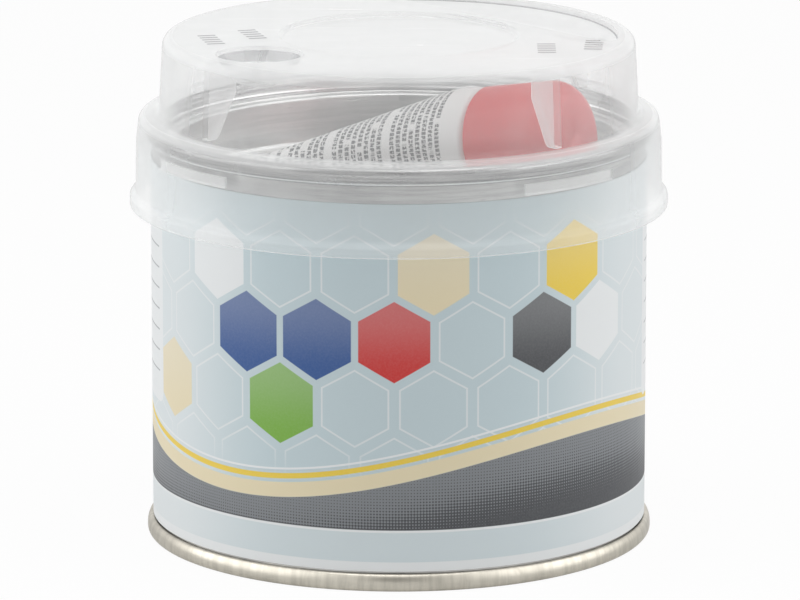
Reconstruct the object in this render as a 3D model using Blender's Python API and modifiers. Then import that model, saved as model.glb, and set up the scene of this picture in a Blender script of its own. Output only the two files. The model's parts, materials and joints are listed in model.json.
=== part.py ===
"""Tub of two-part body filler.

A double-seamed tin with a press-in lid, and a clear mixing cap that keeps a tube of hardener
in the lid's dish. Metres, +Z up, the tin stands on Z = 0 with its axis on Z.
Azimuths are measured from the front (-Y), positive towards +X.
"""

import math

import bmesh
import bpy
from mathutils import Matrix

MM = 0.001

# Facets round every piece that is turned about the tin's axis, and round the tube
ROUND_STEPS = 48
TUBE_STEPS = 32
SHARP_ANGLE = math.radians(35)

# Tin
CAN_RADIUS = 49.2 * MM
CAN_HEIGHT = 84.0 * MM
PLATE = 0.3 * MM
SEAM_HEIGHT = 3.5 * MM
SEAM_PLAY = 0.18 * MM
SEAM_ROUND = 0.55 * MM
COMPOUND_HEIGHT = 0.4 * MM
COMPOUND_PLAY = 0.1 * MM
BOTTOM_RECESS = 3.6 * MM
BOTTOM_BEAD_RADIUS = 37.0 * MM
BOTTOM_BEAD_STEP = 0.7 * MM
FOLD_ROUND = 0.8 * MM

# Printed wrap
LABEL_PAPER = 0.2 * MM
LABEL_GLUE = 0.1 * MM
LABEL_FOOT_GAP = 0.4 * MM
LABEL_HEAD_BARE = 3.5 * MM

# Mouth ring and press-in lid
RING_DEPTH = 4.4 * MM
CHUCK_LEAN = 0.8 * MM
LEDGE_WIDTH = 2.7 * MM
SOCKET_DEPTH = 6.0 * MM
LID_DEPTH = 9.6 * MM
LID_PLAY = 0.2 * MM
LID_PRY_GAP = 0.7 * MM
LID_CORNER = 1.2 * MM
LID_CURL = 0.35 * MM

# Filler
HEADSPACE = 5.0 * MM
PUTTY_PLAY = 0.2 * MM

# Clear mixing cap
CAP_WALL = 0.95 * MM
CAP_FIT = 0.3 * MM
CAP_SEAT = 0.3 * MM
DOME_INSET = 2.9 * MM
DOME_DRAFT = 0.7 * MM
DOME_HEIGHT = 15.75 * MM
TOP_ROUND = 2.1 * MM
FOOT_ROUND = 1.4 * MM
SHOULDER_ROUND = 1.4 * MM
SKIRT_LENGTH = 18.2 * MM
SKIRT_SPREAD = 0.6 * MM
SPREAD_DROP = 5.0 * MM
LIP_FLARE = 1.2 * MM
LIP_HEIGHT = 1.8 * MM
LIP_SLOPE = 1.6 * MM
DISC_MARGIN = 2.0 * MM
DISC_SINK = 0.9 * MM
DISC_SLOPE = 0.5 * MM

# Fins and snap lugs inside the cap, in two opposite pairs
CAP_TURN = math.radians(-6.3)
PAIR_HALF_ANGLE = math.radians(47.7)
FIN_DEPTH = 6.3 * MM
FIN_KNEE = 7.0 * MM
FIN_TIP_DEPTH = 2.8 * MM
FIN_TIP_LIFT = 0.7 * MM
FIN_TIP_ROUND = 0.6 * MM
FIN_THICKNESS = 1.9 * MM
LUG_PLAY = 0.15 * MM
LUG_DROP = 0.5 * MM
LUG_HEIGHT = 2.4 * MM
LUG_WIDTH = 23.5 * MM

# Dosing bowl for hardener and filler recess, opposite each other in the cap's top
BOWL_AZIMUTH = math.radians(-52)
BOWL_RADIUS = 8.6 * MM
BOWL_DEPTH = 5.5 * MM
BOWL_EDGE = 1.74 * MM
RECESS_AZIMUTH = math.radians(131)
RECESS_MARGIN = 1.5 * MM
RECESS_EDGE = 1.4 * MM
RECESS_DEPTH = 1.2 * MM
RECESS_CORNER = 2.0 * MM
CUT_OVERSHOOT = 2.0 * MM

# Tube of hardener, lying on the lid's floor on its cap's rim and its crimped tail
TUBE_YAW = math.radians(-34)
TUBE_TIP_GAP = 3.9 * MM
TUBE_TAIL_GAP = 8.2 * MM
TUBE_REST_GAP = 0.3 * MM
TUBE_FIN_GAP = 0.71 * MM
TUBE_RADIUS = 10.9 * MM
TUBE_WALL = 0.3 * MM
CRIMP_LENGTH = 5.5 * MM
CRIMP_THICKNESS = 0.9 * MM
CRIMP_SLOPE = 1.0 * MM
TUBE_TAPER_SHARE = 0.93
SHOULDER_DROP = 1.3 * MM
SHOULDER_LENGTH = 3.6 * MM
NECK_RADIUS = 4.5 * MM
NECK_LENGTH = 8.6 * MM
NECK_WALL = 1.2 * MM
NECK_FOOT = 0.6 * MM
ORIFICE_RADIUS = 1.6 * MM
PASTE_PLAY = 0.2 * MM
TUBE_CAP_STEP = 0.2 * MM
TUBE_CAP_LENGTH = 19.7 * MM
TUBE_CAP_WALL = 1.2 * MM
TUBE_CAP_ROUND = 4.6 * MM
TUBE_CAP_GAP = 0.35 * MM
THREAD_PLAY = 0.3 * MM

# Layers of a double seam, from the inside out
WALL_INNER = CAN_RADIUS - PLATE
CHUCK_OUTER = WALL_INNER - SEAM_PLAY
CHUCK_INNER = CHUCK_OUTER - PLATE
COVER_HOOK_INNER = CAN_RADIUS + SEAM_PLAY
COVER_HOOK_OUTER = COVER_HOOK_INNER + PLATE
BODY_HOOK_INNER = COVER_HOOK_OUTER + SEAM_PLAY
BODY_HOOK_OUTER = BODY_HOOK_INNER + PLATE
SEAM_INNER = BODY_HOOK_OUTER + SEAM_PLAY
SEAM_RADIUS = SEAM_INNER + PLATE

# Depths inside a double seam, from its rim
FLANGE_DEPTH = PLATE + COMPOUND_HEIGHT + 2 * COMPOUND_PLAY
COVER_HOOK_DEPTH = FLANGE_DEPTH + PLATE + SEAM_PLAY
BODY_HOOK_DEPTH = SEAM_HEIGHT - PLATE - SEAM_PLAY

# Lid and ring
RING_Z = CAN_HEIGHT - RING_DEPTH
CHUCK_FOOT = CHUCK_INNER - CHUCK_LEAN
MOUTH_RADIUS = CHUCK_FOOT - LEDGE_WIDTH
LID_OUTER = MOUTH_RADIUS - LID_PLAY
LID_INNER = LID_OUTER - PLATE
LID_RIM = CHUCK_FOOT - LID_PRY_GAP
LID_FLOOR = RING_Z - LID_DEPTH

# Cap
LEDGE_UNDER = CAN_HEIGHT + CAP_SEAT
LEDGE_TOP = LEDGE_UNDER + CAP_WALL
CAP_TOP = LEDGE_TOP + DOME_HEIGHT
DOME_RADIUS = SEAM_RADIUS - DOME_INSET
DOME_TOP_RADIUS = DOME_RADIUS - DOME_DRAFT
TOP_FLAT = DOME_TOP_RADIUS - TOP_ROUND
SKIRT_TOP = SEAM_RADIUS + CAP_FIT + CAP_WALL
SKIRT_LOW = SKIRT_TOP + SKIRT_SPREAD
LIP_RADIUS = SKIRT_LOW + LIP_FLARE
SKIRT_FOOT = LEDGE_TOP - SKIRT_LENGTH
SPREAD_Z = LEDGE_TOP - SPREAD_DROP
CAP_AZIMUTHS = [CAP_TURN + side * PAIR_HALF_ANGLE + turn for turn in (0, math.pi) for side in (-1, 1)]
BOWL_PLACE = TOP_FLAT - BOWL_EDGE - BOWL_RADIUS
DISC_RADIUS = BOWL_PLACE - BOWL_RADIUS - DISC_MARGIN
RECESS_RADIUS = TOP_FLAT - RECESS_EDGE
RECESS_CHORD = DISC_RADIUS + RECESS_MARGIN

# Tube
TUBE_CAP_RADIUS = TUBE_RADIUS + TUBE_CAP_STEP
NECK_TOP = SHOULDER_LENGTH + NECK_LENGTH
TUBE_TIP_REACH = LID_INNER - TUBE_TIP_GAP
TUBE_PLAN_LENGTH = TUBE_TIP_REACH + LID_INNER - TUBE_TAIL_GAP


def tube_tilt():
    """Angle at which the tube lies on its cap's rim and its crimped tail."""
    tilt = 0.0
    for _ in range(8):
        body = TUBE_PLAN_LENGTH / math.cos(tilt) - TUBE_CAP_LENGTH
        tilt = math.atan2(TUBE_CAP_RADIUS - CRIMP_THICKNESS / 2, body)
    return tilt


TUBE_TILT = tube_tilt()
TUBE_BODY_LENGTH = TUBE_PLAN_LENGTH / math.cos(TUBE_TILT) - TUBE_CAP_LENGTH


def clear_scene():
    for obj in list(bpy.data.objects):
        bpy.data.objects.remove(obj, do_unlink=True)


def new_collection(name):
    collection = bpy.data.collections.new(name)
    bpy.context.scene.collection.children.link(collection)
    return collection


def new_material(name, colour, roughness, metallic=0.0, transmission=0.0):
    material = bpy.data.materials.new(name)
    material.use_nodes = True
    shader = material.node_tree.nodes["Principled BSDF"]
    shader.inputs["Base Color"].default_value = (*colour, 1.0)
    shader.inputs["Roughness"].default_value = roughness
    shader.inputs["Metallic"].default_value = metallic
    shader.inputs["Transmission Weight"].default_value = transmission
    return material


def arc(centre, radius, start, end, count):
    """Points of an arc in the profile's plane, angles in degrees from the outward direction."""
    angles = [math.radians(start + (end - start) * i / (count - 1)) for i in range(count)]
    return [(centre[0] + radius * math.cos(a), centre[1] + radius * math.sin(a)) for a in angles]


def clockwise(points):
    """The outline in the order that runs down its outer side."""
    ahead = points[1:] + points[:1]
    area = sum(a[0] * b[1] - b[0] * a[1] for a, b in zip(points, ahead))
    return points if area < 0 else points[::-1]


def add_object(name, mesh, collection, material=None):
    obj = bpy.data.objects.new(name, mesh)
    collection.objects.link(obj)
    if material:
        mesh.materials.append(material)
    return obj


def turned(name, profile, collection, material=None, steps=ROUND_STEPS):
    """A closed profile of (radius, height) points turned about the object's Z axis.

    A profile that starts and ends on the axis is left open there.
    """
    points = clockwise(profile)
    on_axis = [i for i, p in enumerate(points) if p[0] == 0.0]
    count = len(points)
    edges = [(i, (i + 1) % count) for i in range(count)]
    if len(on_axis) == 2:
        edges = [e for e in edges if set(e) != set(on_axis)]
    mesh = bpy.data.meshes.new(name)
    mesh.from_pydata([(r, 0.0, z) for r, z in points], edges, [])
    obj = add_object(name, mesh, collection, material)
    screw = obj.modifiers.new("turn", "SCREW")
    screw.axis = "Z"
    screw.steps = steps
    screw.render_steps = steps
    screw.use_merge_vertices = True
    screw.merge_threshold = 1e-6
    return obj


def bake(obj):
    """Replace an object's modifiers with the mesh that they make, shaded smooth."""
    depsgraph = bpy.context.evaluated_depsgraph_get()
    mesh = bpy.data.meshes.new_from_object(obj.evaluated_get(depsgraph))
    obj.modifiers.clear()
    obj.data = mesh
    mesh.name = obj.name
    mesh.shade_smooth()
    mesh.set_sharp_from_angle(angle=SHARP_ANGLE)
    return obj


def plate(name, outline, thickness, collection):
    """A flat outline in the object's XY plane, thickened evenly to both sides, as a mesh."""
    curve = bpy.data.curves.new(name, "CURVE")
    curve.dimensions = "2D"
    curve.fill_mode = "BOTH"
    curve.extrude = thickness / 2
    spline = curve.splines.new("POLY")
    spline.points.add(len(outline) - 1)
    for point, place in zip(spline.points, outline):
        point.co = (*place, 0.0, 1.0)
    spline.use_cyclic_u = True
    flat = add_object(name + "_outline", curve, collection)
    depsgraph = bpy.context.evaluated_depsgraph_get()
    mesh = bpy.data.meshes.new_from_object(flat.evaluated_get(depsgraph))
    bpy.data.objects.remove(flat, do_unlink=True)
    body = bmesh.new()
    body.from_mesh(mesh)
    bmesh.ops.remove_doubles(body, verts=body.verts, dist=1e-6)
    bmesh.ops.recalc_face_normals(body, faces=body.faces)
    body.to_mesh(mesh)
    body.free()
    return add_object(name, mesh, collection)


def as_tool(obj):
    """A shape that only cuts or joins another one."""
    obj.hide_render = True
    obj.display_type = "WIRE"
    return obj


def combine(obj, tool, operation):
    step = obj.modifiers.new(tool.name, "BOOLEAN")
    step.operation = operation
    step.solver = "EXACT"
    step.object = tool


def loft(name, rings, collection, material):
    """A closed skin through rings of equally many points, with its first and last ring filled.

    The triangles of neighbouring quarters mirror each other, which keeps a squeezed tube convex.
    """
    skin = bmesh.new()
    loops = [[skin.verts.new(point) for point in ring] for ring in rings]
    count = len(rings[0])
    for low, high in zip(loops, loops[1:]):
        for i in range(count):
            after = (i + 1) % count
            corners = [low[i], low[after], high[after], high[i]]
            if 4 * i // count % 2:
                corners = corners[1:] + corners[:1]
            skin.faces.new(corners[:3])
            skin.faces.new((corners[0], corners[2], corners[3]))
    skin.faces.new(loops[0][::-1])
    skin.faces.new(loops[-1])
    bmesh.ops.recalc_face_normals(skin, faces=skin.faces)
    mesh = bpy.data.meshes.new(name)
    skin.to_mesh(mesh)
    skin.free()
    return add_object(name, mesh, collection, material)


def seam_chain():
    """The end piece's part of a double seam as (radius, depth below the rim).

    The outside runs from the chuck wall over the rim to the cover hook, the inside runs back.
    """
    rim_inner = arc((CHUCK_INNER + SEAM_ROUND, SEAM_ROUND), SEAM_ROUND, 180, 270, 3)
    rim_outer = arc((SEAM_RADIUS - SEAM_ROUND, SEAM_ROUND), SEAM_ROUND, 270, 360, 3)
    turn = arc((SEAM_RADIUS - SEAM_ROUND, SEAM_HEIGHT - SEAM_ROUND), SEAM_ROUND, 0, 90, 3)
    inside = [
        (COVER_HOOK_INNER, SEAM_HEIGHT),
        (COVER_HOOK_INNER, COVER_HOOK_DEPTH),
        (COVER_HOOK_OUTER, COVER_HOOK_DEPTH),
        (COVER_HOOK_OUTER, SEAM_HEIGHT - PLATE),
        (SEAM_INNER, SEAM_HEIGHT - PLATE),
        (SEAM_INNER, PLATE),
        (CHUCK_OUTER, PLATE),
    ]
    return rim_inner + rim_outer + turn + inside


def at_foot(points):
    return [(r, d) for r, d in points]


def at_head(points):
    return [(r, CAN_HEIGHT - d) for r, d in points]


def make_can_body(collection, tin):
    """The wall, with a flange hooked over at each end."""
    flange = [
        (WALL_INNER, FLANGE_DEPTH),
        (BODY_HOOK_OUTER, FLANGE_DEPTH),
        (BODY_HOOK_OUTER, BODY_HOOK_DEPTH),
        (BODY_HOOK_INNER, BODY_HOOK_DEPTH),
        (BODY_HOOK_INNER, FLANGE_DEPTH + PLATE),
        (CAN_RADIUS, FLANGE_DEPTH + PLATE),
    ]
    bake(turned("can_body", at_head(flange) + at_foot(flange)[::-1], collection, tin))


def bottom_panel(lift):
    """Half section of the bottom's panel, from the axis outwards, raised by lift."""
    low = BOTTOM_RECESS - BOTTOM_BEAD_STEP + lift
    return [
        (0.0, low),
        (BOTTOM_BEAD_RADIUS - BOTTOM_BEAD_STEP, low),
        (BOTTOM_BEAD_RADIUS, BOTTOM_RECESS + lift),
        (CHUCK_INNER - FOLD_ROUND, BOTTOM_RECESS + lift),
    ]


def make_bottom_end(collection, tin):
    under = bottom_panel(0.0) + [(CHUCK_INNER, BOTTOM_RECESS - FOLD_ROUND)]
    above = [(CHUCK_OUTER, BOTTOM_RECESS + PLATE - FOLD_ROUND)] + bottom_panel(PLATE)[::-1]
    bake(turned("bottom_end", under + at_foot(seam_chain()) + above, collection, tin))


def make_mouth_ring(collection, tin):
    """Seam, chuck wall, ledge and the socket that the lid plugs into."""
    socket_foot = RING_Z - SOCKET_DEPTH
    top = [
        (MOUTH_RADIUS, socket_foot),
        (MOUTH_RADIUS, RING_Z - PLATE),
        (MOUTH_RADIUS + PLATE, RING_Z),
        (CHUCK_FOOT - FOLD_ROUND, RING_Z),
        (CHUCK_FOOT, RING_Z + FOLD_ROUND),
    ]
    under = [
        (CHUCK_FOOT + PLATE, RING_Z + FOLD_ROUND - PLATE),
        (CHUCK_FOOT + PLATE - FOLD_ROUND, RING_Z - PLATE),
        (MOUTH_RADIUS + PLATE, RING_Z - PLATE),
        (MOUTH_RADIUS + PLATE, socket_foot),
    ]
    bake(turned("mouth_ring", top + at_head(seam_chain()) + under, collection, tin))


def make_lever_lid(collection, tin):
    """A deep dish with a curled rim that lies on the ring's ledge."""
    rim_under = RING_Z + LID_PLAY
    rim_top = rim_under + PLATE
    corner = (LID_INNER - LID_CORNER, LID_FLOOR + LID_CORNER)
    inside = [(0.0, LID_FLOOR)] + arc(corner, LID_CORNER, 270, 360, 4) + [
        (LID_INNER, rim_top - PLATE),
        (LID_INNER + PLATE, rim_top),
        (LID_RIM - 3 * LID_CURL, rim_top),
        (LID_RIM - 2 * LID_CURL, rim_top + LID_CURL),
        (LID_RIM - LID_CURL, rim_top + LID_CURL),
        (LID_RIM, rim_top),
    ]
    outside = [(LID_RIM, rim_under), (LID_OUTER, rim_under)]
    outside += arc(corner, LID_CORNER + PLATE, 360, 270, 4) + [(0.0, LID_FLOOR - PLATE)]
    bake(turned("lever_lid", inside + outside, collection, tin))


def make_wrap_label(collection, paper):
    inner = CAN_RADIUS + LABEL_GLUE
    outer = inner + LABEL_PAPER
    low = SEAM_HEIGHT + LABEL_FOOT_GAP
    high = CAN_HEIGHT - SEAM_HEIGHT - LABEL_HEAD_BARE
    sleeve = [(inner, low), (outer, low), (outer, high), (inner, high)]
    bake(turned("wrap_label", sleeve, collection, paper))


def make_seam_compound(collection, sealant):
    """Lining compound between each seam's rim and the wall's flange."""
    inner = WALL_INNER
    outer = BODY_HOOK_OUTER
    near = PLATE + COMPOUND_PLAY
    far = near + COMPOUND_HEIGHT
    band = [(inner, near), (outer, near), (outer, far), (inner, far)]
    bake(turned("ring_seam_compound", at_head(band), collection, sealant))
    bake(turned("bottom_seam_compound", at_foot(band), collection, sealant))


def make_filler_putty(collection, putty):
    side = WALL_INNER - PUTTY_PLAY
    level = LID_FLOOR - PLATE - HEADSPACE
    panel = bottom_panel(PLATE + PUTTY_PLAY)
    profile = panel + [(side, panel[-1][1]), (side, level), (0.0, level)]
    bake(turned("filler_putty", profile, collection, putty))


def skirt_radius(z):
    """Outside radius of the skirt between the spread's end and the lip."""
    lip_start = SKIRT_FOOT + LIP_HEIGHT + LIP_SLOPE
    share = (SPREAD_Z - z) / (SPREAD_Z - lip_start)
    return SKIRT_LOW - SKIRT_SPREAD / 4 * (1 - share)


def cap_profile():
    """Half section of the mixing cap, the outside from the axis to the lip and the inside back."""
    sunk = CAP_TOP - DISC_SINK
    lip_top = SKIRT_FOOT + LIP_HEIGHT
    slope_top = lip_top + LIP_SLOPE
    foot = (DOME_RADIUS + FOOT_ROUND, LEDGE_TOP + FOOT_ROUND)
    shoulder = (SKIRT_TOP - SHOULDER_ROUND, LEDGE_TOP - SHOULDER_ROUND)
    outside = [(0.0, sunk), (DISC_RADIUS - DISC_SLOPE, sunk), (DISC_RADIUS, CAP_TOP)]
    outside += arc((TOP_FLAT, CAP_TOP - TOP_ROUND), TOP_ROUND, 90, 0, 5)
    outside += arc(foot, FOOT_ROUND, 180, 270, 3)
    outside += arc(shoulder, SHOULDER_ROUND, 90, 0, 4)
    outside += [(skirt_radius(SPREAD_Z), SPREAD_Z), (SKIRT_LOW, slope_top)]
    outside += [(LIP_RADIUS, lip_top), (LIP_RADIUS, SKIRT_FOOT)]

    corner = SHOULDER_ROUND - CAP_WALL
    inside = [(LIP_RADIUS - CAP_WALL, SKIRT_FOOT), (LIP_RADIUS - CAP_WALL, lip_top - CAP_WALL / 2)]
    inside += [(SKIRT_LOW - CAP_WALL, slope_top - CAP_WALL / 2)]
    inside += [(skirt_radius(SPREAD_Z) - CAP_WALL, SPREAD_Z)]
    inside += arc(shoulder, corner, 0, 90, 3)
    inside += [(DOME_RADIUS - CAP_WALL, LEDGE_UNDER)]
    inside += arc((TOP_FLAT, CAP_TOP - TOP_ROUND), TOP_ROUND - CAP_WALL, 0, 90, 4)
    inside += [(DISC_RADIUS + CAP_WALL / 2, CAP_TOP - CAP_WALL)]
    inside += [(DISC_RADIUS + CAP_WALL / 2 - DISC_SLOPE, sunk - CAP_WALL), (0.0, sunk - CAP_WALL)]
    return outside + inside


def dome_inner(z):
    """Inside radius of the dome's leaning wall at a height."""
    share = (z - LEDGE_UNDER) / (CAP_TOP - TOP_ROUND - LEDGE_UNDER)
    return DOME_RADIUS - CAP_WALL - DOME_DRAFT * share


FIN_TOP_INNER = dome_inner(CAP_TOP - TOP_ROUND) - FIN_DEPTH
FIN_TIP_Z = LEDGE_UNDER + FIN_TIP_LIFT
FIN_KNEE_Z = CAP_TOP - FIN_KNEE
FIN_TIP_INNER = dome_inner(FIN_TIP_Z) - FIN_TIP_DEPTH


def fin_inner(z):
    """Radius of a fin's inner edge at a height above its tip."""
    share = min(max((FIN_KNEE_Z - z) / (FIN_KNEE_Z - FIN_TIP_Z), 0.0), 1.0)
    return FIN_TOP_INNER + (FIN_TIP_INNER - FIN_TOP_INNER) * share


def fin_outline():
    """A fin in its own plane as (radius, height): it hangs from the top and grows from the wall."""
    buried = CAP_WALL / 2
    return [
        (FIN_TOP_INNER, CAP_TOP - buried),
        (FIN_TOP_INNER, FIN_KNEE_Z),
        (FIN_TIP_INNER, FIN_TIP_Z + FIN_TIP_ROUND),
        (FIN_TIP_INNER + FIN_TIP_ROUND, FIN_TIP_Z),
        (dome_inner(FIN_TIP_Z) + buried, FIN_TIP_Z),
        (dome_inner(CAP_TOP - TOP_ROUND) + buried, CAP_TOP - TOP_ROUND),
        (TOP_FLAT, CAP_TOP - buried),
    ]


def facing(azimuth):
    """Turn that takes +X to an azimuth measured from the front."""
    return Matrix.Rotation(azimuth - math.pi / 2, 4, "Z")


def make_fins(tools):
    upright = Matrix.Rotation(math.pi / 2, 4, "X")
    for number, azimuth in enumerate(CAP_AZIMUTHS):
        fin = as_tool(plate(f"fin_{number}", fin_outline(), FIN_THICKNESS, tools))
        fin.matrix_world = facing(azimuth) @ upright
        yield fin


def make_lugs(tools):
    """Four short arcs of a ring under the seam, kept where four blocks cross the ring."""
    high = CAN_HEIGHT - SEAM_HEIGHT - LUG_DROP
    low = high - LUG_HEIGHT
    inner = SEAM_RADIUS + LUG_PLAY
    outer = [skirt_radius(z) - CAP_WALL / 2 for z in (low, high)]
    section = [(inner, low + LUG_DROP), (inner, high), (outer[1], high), (outer[0], low)]
    for number, azimuth in enumerate(CAP_AZIMUTHS):
        bpy.ops.mesh.primitive_cube_add(size=1.0)
        block = bpy.context.active_object
        block.name = f"lug_block_{number}"
        block.data.transform(Matrix.Diagonal((CAN_RADIUS, LUG_WIDTH, 4 * LUG_HEIGHT, 1.0)))
        block.data.transform(Matrix.Translation((CAN_RADIUS, 0.0, (low + high) / 2)))
        block.matrix_world = facing(azimuth)
        for home in list(block.users_collection):
            home.objects.unlink(block)
        tools.objects.link(block)
        lug = as_tool(turned(f"lug_{number}", section, tools))
        combine(lug, as_tool(block), "INTERSECT")
        yield bake(lug)


def bowl_sphere():
    """Radius of the sphere that a dosing bowl of this width and depth is part of."""
    return (BOWL_RADIUS**2 + BOWL_DEPTH**2) / (2 * BOWL_DEPTH)


def make_bowl(tools):
    """The bowl's outside, which joins the cap, and its hollow, which is cut out afterwards."""
    radius = bowl_sphere()
    centre = (0.0, CAP_TOP - BOWL_DEPTH + radius)

    def dish(size, level):
        rise = math.degrees(math.asin((level - centre[1]) / size))
        return [(0.0, centre[1] - size)] + arc(centre, size, -90, rise, 8)[1:] + [(0.0, level)]

    above = CAP_TOP + CUT_OVERSHOOT
    hollow = dish(radius, CAP_TOP)[:-1] + [(BOWL_RADIUS, above), (0.0, above)]
    shapes = {
        "bowl_outside": dish(radius + CAP_WALL, CAP_TOP - CAP_WALL / 2),
        "bowl_hollow": hollow,
    }
    for name, profile in shapes.items():
        tool = as_tool(bake(turned(name, profile, tools, steps=TUBE_STEPS)))
        place = Matrix.Translation((BOWL_PLACE, 0.0, 0.0))
        tool.matrix_world = facing(BOWL_AZIMUTH) @ place
        yield tool


def segment_outline(chord, radius, corner):
    """A circle's segment beyond a chord, with its two corners rounded."""
    half = math.acos((chord + corner) / (radius - corner))
    centre = ((radius - corner) * math.cos(half), (radius - corner) * math.sin(half))
    spread = math.degrees(half)
    near = arc((centre[0], -centre[1]), corner, 180, 360 - spread, 5)
    far = arc(centre, corner, spread, 180, 5)
    return near + arc((0.0, 0.0), radius, -spread, spread, 13)[1:-1] + far


def make_recess(tools):
    """The filler recess's outside, which joins the cap, and its hollow."""
    floor = CAP_TOP - RECESS_DEPTH
    under = floor - CAP_WALL
    buried = CAP_TOP - CAP_WALL / 2
    above = CAP_TOP + CUT_OVERSHOOT
    wide = segment_outline(RECESS_CHORD - CAP_WALL, RECESS_RADIUS + CAP_WALL, RECESS_CORNER + CAP_WALL)
    narrow = segment_outline(RECESS_CHORD, RECESS_RADIUS, RECESS_CORNER)
    shapes = [("recess_outside", wide, under, buried), ("recess_hollow", narrow, floor, above)]
    for name, outline, low, high in shapes:
        tool = as_tool(plate(name, outline, high - low, tools))
        tool.matrix_world = facing(RECESS_AZIMUTH) @ Matrix.Translation((0.0, 0.0, (low + high) / 2))
        yield tool


def make_mixing_cap(collection, tools, plastic):
    cap = turned("mixing_cap", cap_profile(), collection, plastic)
    bowl_outside, bowl_hollow = make_bowl(tools)
    recess_outside, recess_hollow = make_recess(tools)
    for tool in [*make_fins(tools), *make_lugs(tools), bowl_outside, recess_outside]:
        combine(cap, tool, "UNION")
    for tool in (bowl_hollow, recess_hollow):
        combine(cap, tool, "DIFFERENCE")
    bpy.context.view_layer.update()
    bake(cap)


def tube_section(radius, half_height, z):
    """Ring of a tube squeezed flat without stretching: two half rounds joined by flats."""
    flat = math.pi * (radius - half_height) / 2
    girth = 2 * math.pi * radius
    ring = []
    for i in range(TUBE_STEPS):
        way = girth * i / TUBE_STEPS
        quarter = girth / 4
        side = 1 if way <= 2 * quarter else -1
        left = way if side > 0 else girth - way
        turn = (left - flat) / half_height if half_height > 0 else 0.0
        if left <= flat:
            ring.append((half_height, side * left, z))
        elif left >= 2 * quarter - flat:
            ring.append((-half_height, side * (2 * quarter - left), z))
        else:
            ring.append((half_height * math.cos(turn), side * (flat + half_height * math.sin(turn)), z))
    return ring


def tube_skin(inset):
    """Rings of the squeezed tube from its crimp to its shoulder, moved inwards by inset.

    The tube is full behind its shoulder and tapers from there, with its underside kept straight.
    """
    radius = TUBE_RADIUS - inset
    start = -TUBE_BODY_LENGTH + CRIMP_LENGTH
    end = -SHOULDER_DROP
    steps = 6
    first = CRIMP_THICKNESS / 2 + CRIMP_SLOPE
    rings = []
    for share in [TUBE_TAPER_SHARE * i / steps for i in range(steps + 1)] + [1.0]:
        straight = first + (TUBE_RADIUS - first) * share
        full = first + (TUBE_RADIUS - first) * min(1.0, share / TUBE_TAPER_SHARE)
        z = start + CRIMP_SLOPE + inset + (end - start - CRIMP_SLOPE - inset) * share
        ring = tube_section(radius, full - inset, z)
        rings.append([(x + straight - full, y, up) for x, y, up in ring])
    return rings


def round_ring(radius, z):
    return tube_section(radius, radius, z)


def make_hardener_tube(collection, aluminium):
    """Aluminium skin with a crimped tail, a shoulder and a nozzle that is open at its tip."""
    crimp = CRIMP_THICKNESS / 2
    tail = -TUBE_BODY_LENGTH
    outside = [tube_section(TUBE_RADIUS, crimp, z) for z in (tail, tail + CRIMP_LENGTH)]
    outside += tube_skin(0.0)
    outside += [
        round_ring(TUBE_RADIUS - SHOULDER_DROP, TUBE_CAP_GAP / 2),
        round_ring(NECK_RADIUS + NECK_FOOT, SHOULDER_LENGTH),
        round_ring(NECK_RADIUS, SHOULDER_LENGTH + NECK_FOOT / 2),
        round_ring(NECK_RADIUS, NECK_TOP),
    ]
    bore = NECK_RADIUS - NECK_WALL
    inside = [
        round_ring(ORIFICE_RADIUS, NECK_TOP),
        round_ring(ORIFICE_RADIUS, NECK_TOP - NECK_WALL),
        round_ring(bore, NECK_TOP - NECK_WALL),
        round_ring(bore, SHOULDER_LENGTH - NECK_WALL),
    ]
    inside += tube_skin(TUBE_WALL)[::-1]
    tube = loft("hardener_tube", outside + inside, collection, aluminium)
    return bake(tube)


def make_hardener_paste(collection, paste):
    inset = TUBE_WALL + PASTE_PLAY
    bore = NECK_RADIUS - NECK_WALL - PASTE_PLAY
    rings = tube_skin(inset)
    rings += [
        round_ring(bore, SHOULDER_LENGTH - NECK_WALL - 2 * PASTE_PLAY),
        round_ring(bore, NECK_TOP - NECK_WALL - PASTE_PLAY),
    ]
    return bake(loft("hardener_paste", rings, collection, paste))


def make_tube_cap(collection, red):
    """Screw cap with an outer skirt over the shoulder and an inner sleeve on the neck."""
    rounded = (TUBE_CAP_RADIUS - TUBE_CAP_ROUND, TUBE_CAP_LENGTH - TUBE_CAP_ROUND)
    sleeve = NECK_RADIUS + THREAD_PLAY
    sleeve_foot = SHOULDER_LENGTH + NECK_FOOT / 2 + TUBE_CAP_GAP
    hollow = TUBE_CAP_LENGTH - TUBE_CAP_WALL
    skirt = TUBE_CAP_RADIUS - TUBE_CAP_WALL
    profile = [(0.0, TUBE_CAP_LENGTH)] + arc(rounded, TUBE_CAP_ROUND, 90, 0, 5)
    profile += [
        (TUBE_CAP_RADIUS, TUBE_CAP_GAP),
        (skirt, TUBE_CAP_GAP),
        (skirt, TUBE_CAP_LENGTH - TUBE_CAP_ROUND),
        (rounded[0], hollow),
        (sleeve + TUBE_CAP_WALL, hollow),
        (sleeve + TUBE_CAP_WALL, sleeve_foot),
        (sleeve, sleeve_foot),
        (sleeve, NECK_TOP + TUBE_CAP_GAP),
        (0.0, NECK_TOP + TUBE_CAP_GAP),
    ]
    return bake(turned("tube_cap", profile, collection, red, steps=TUBE_STEPS))


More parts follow.
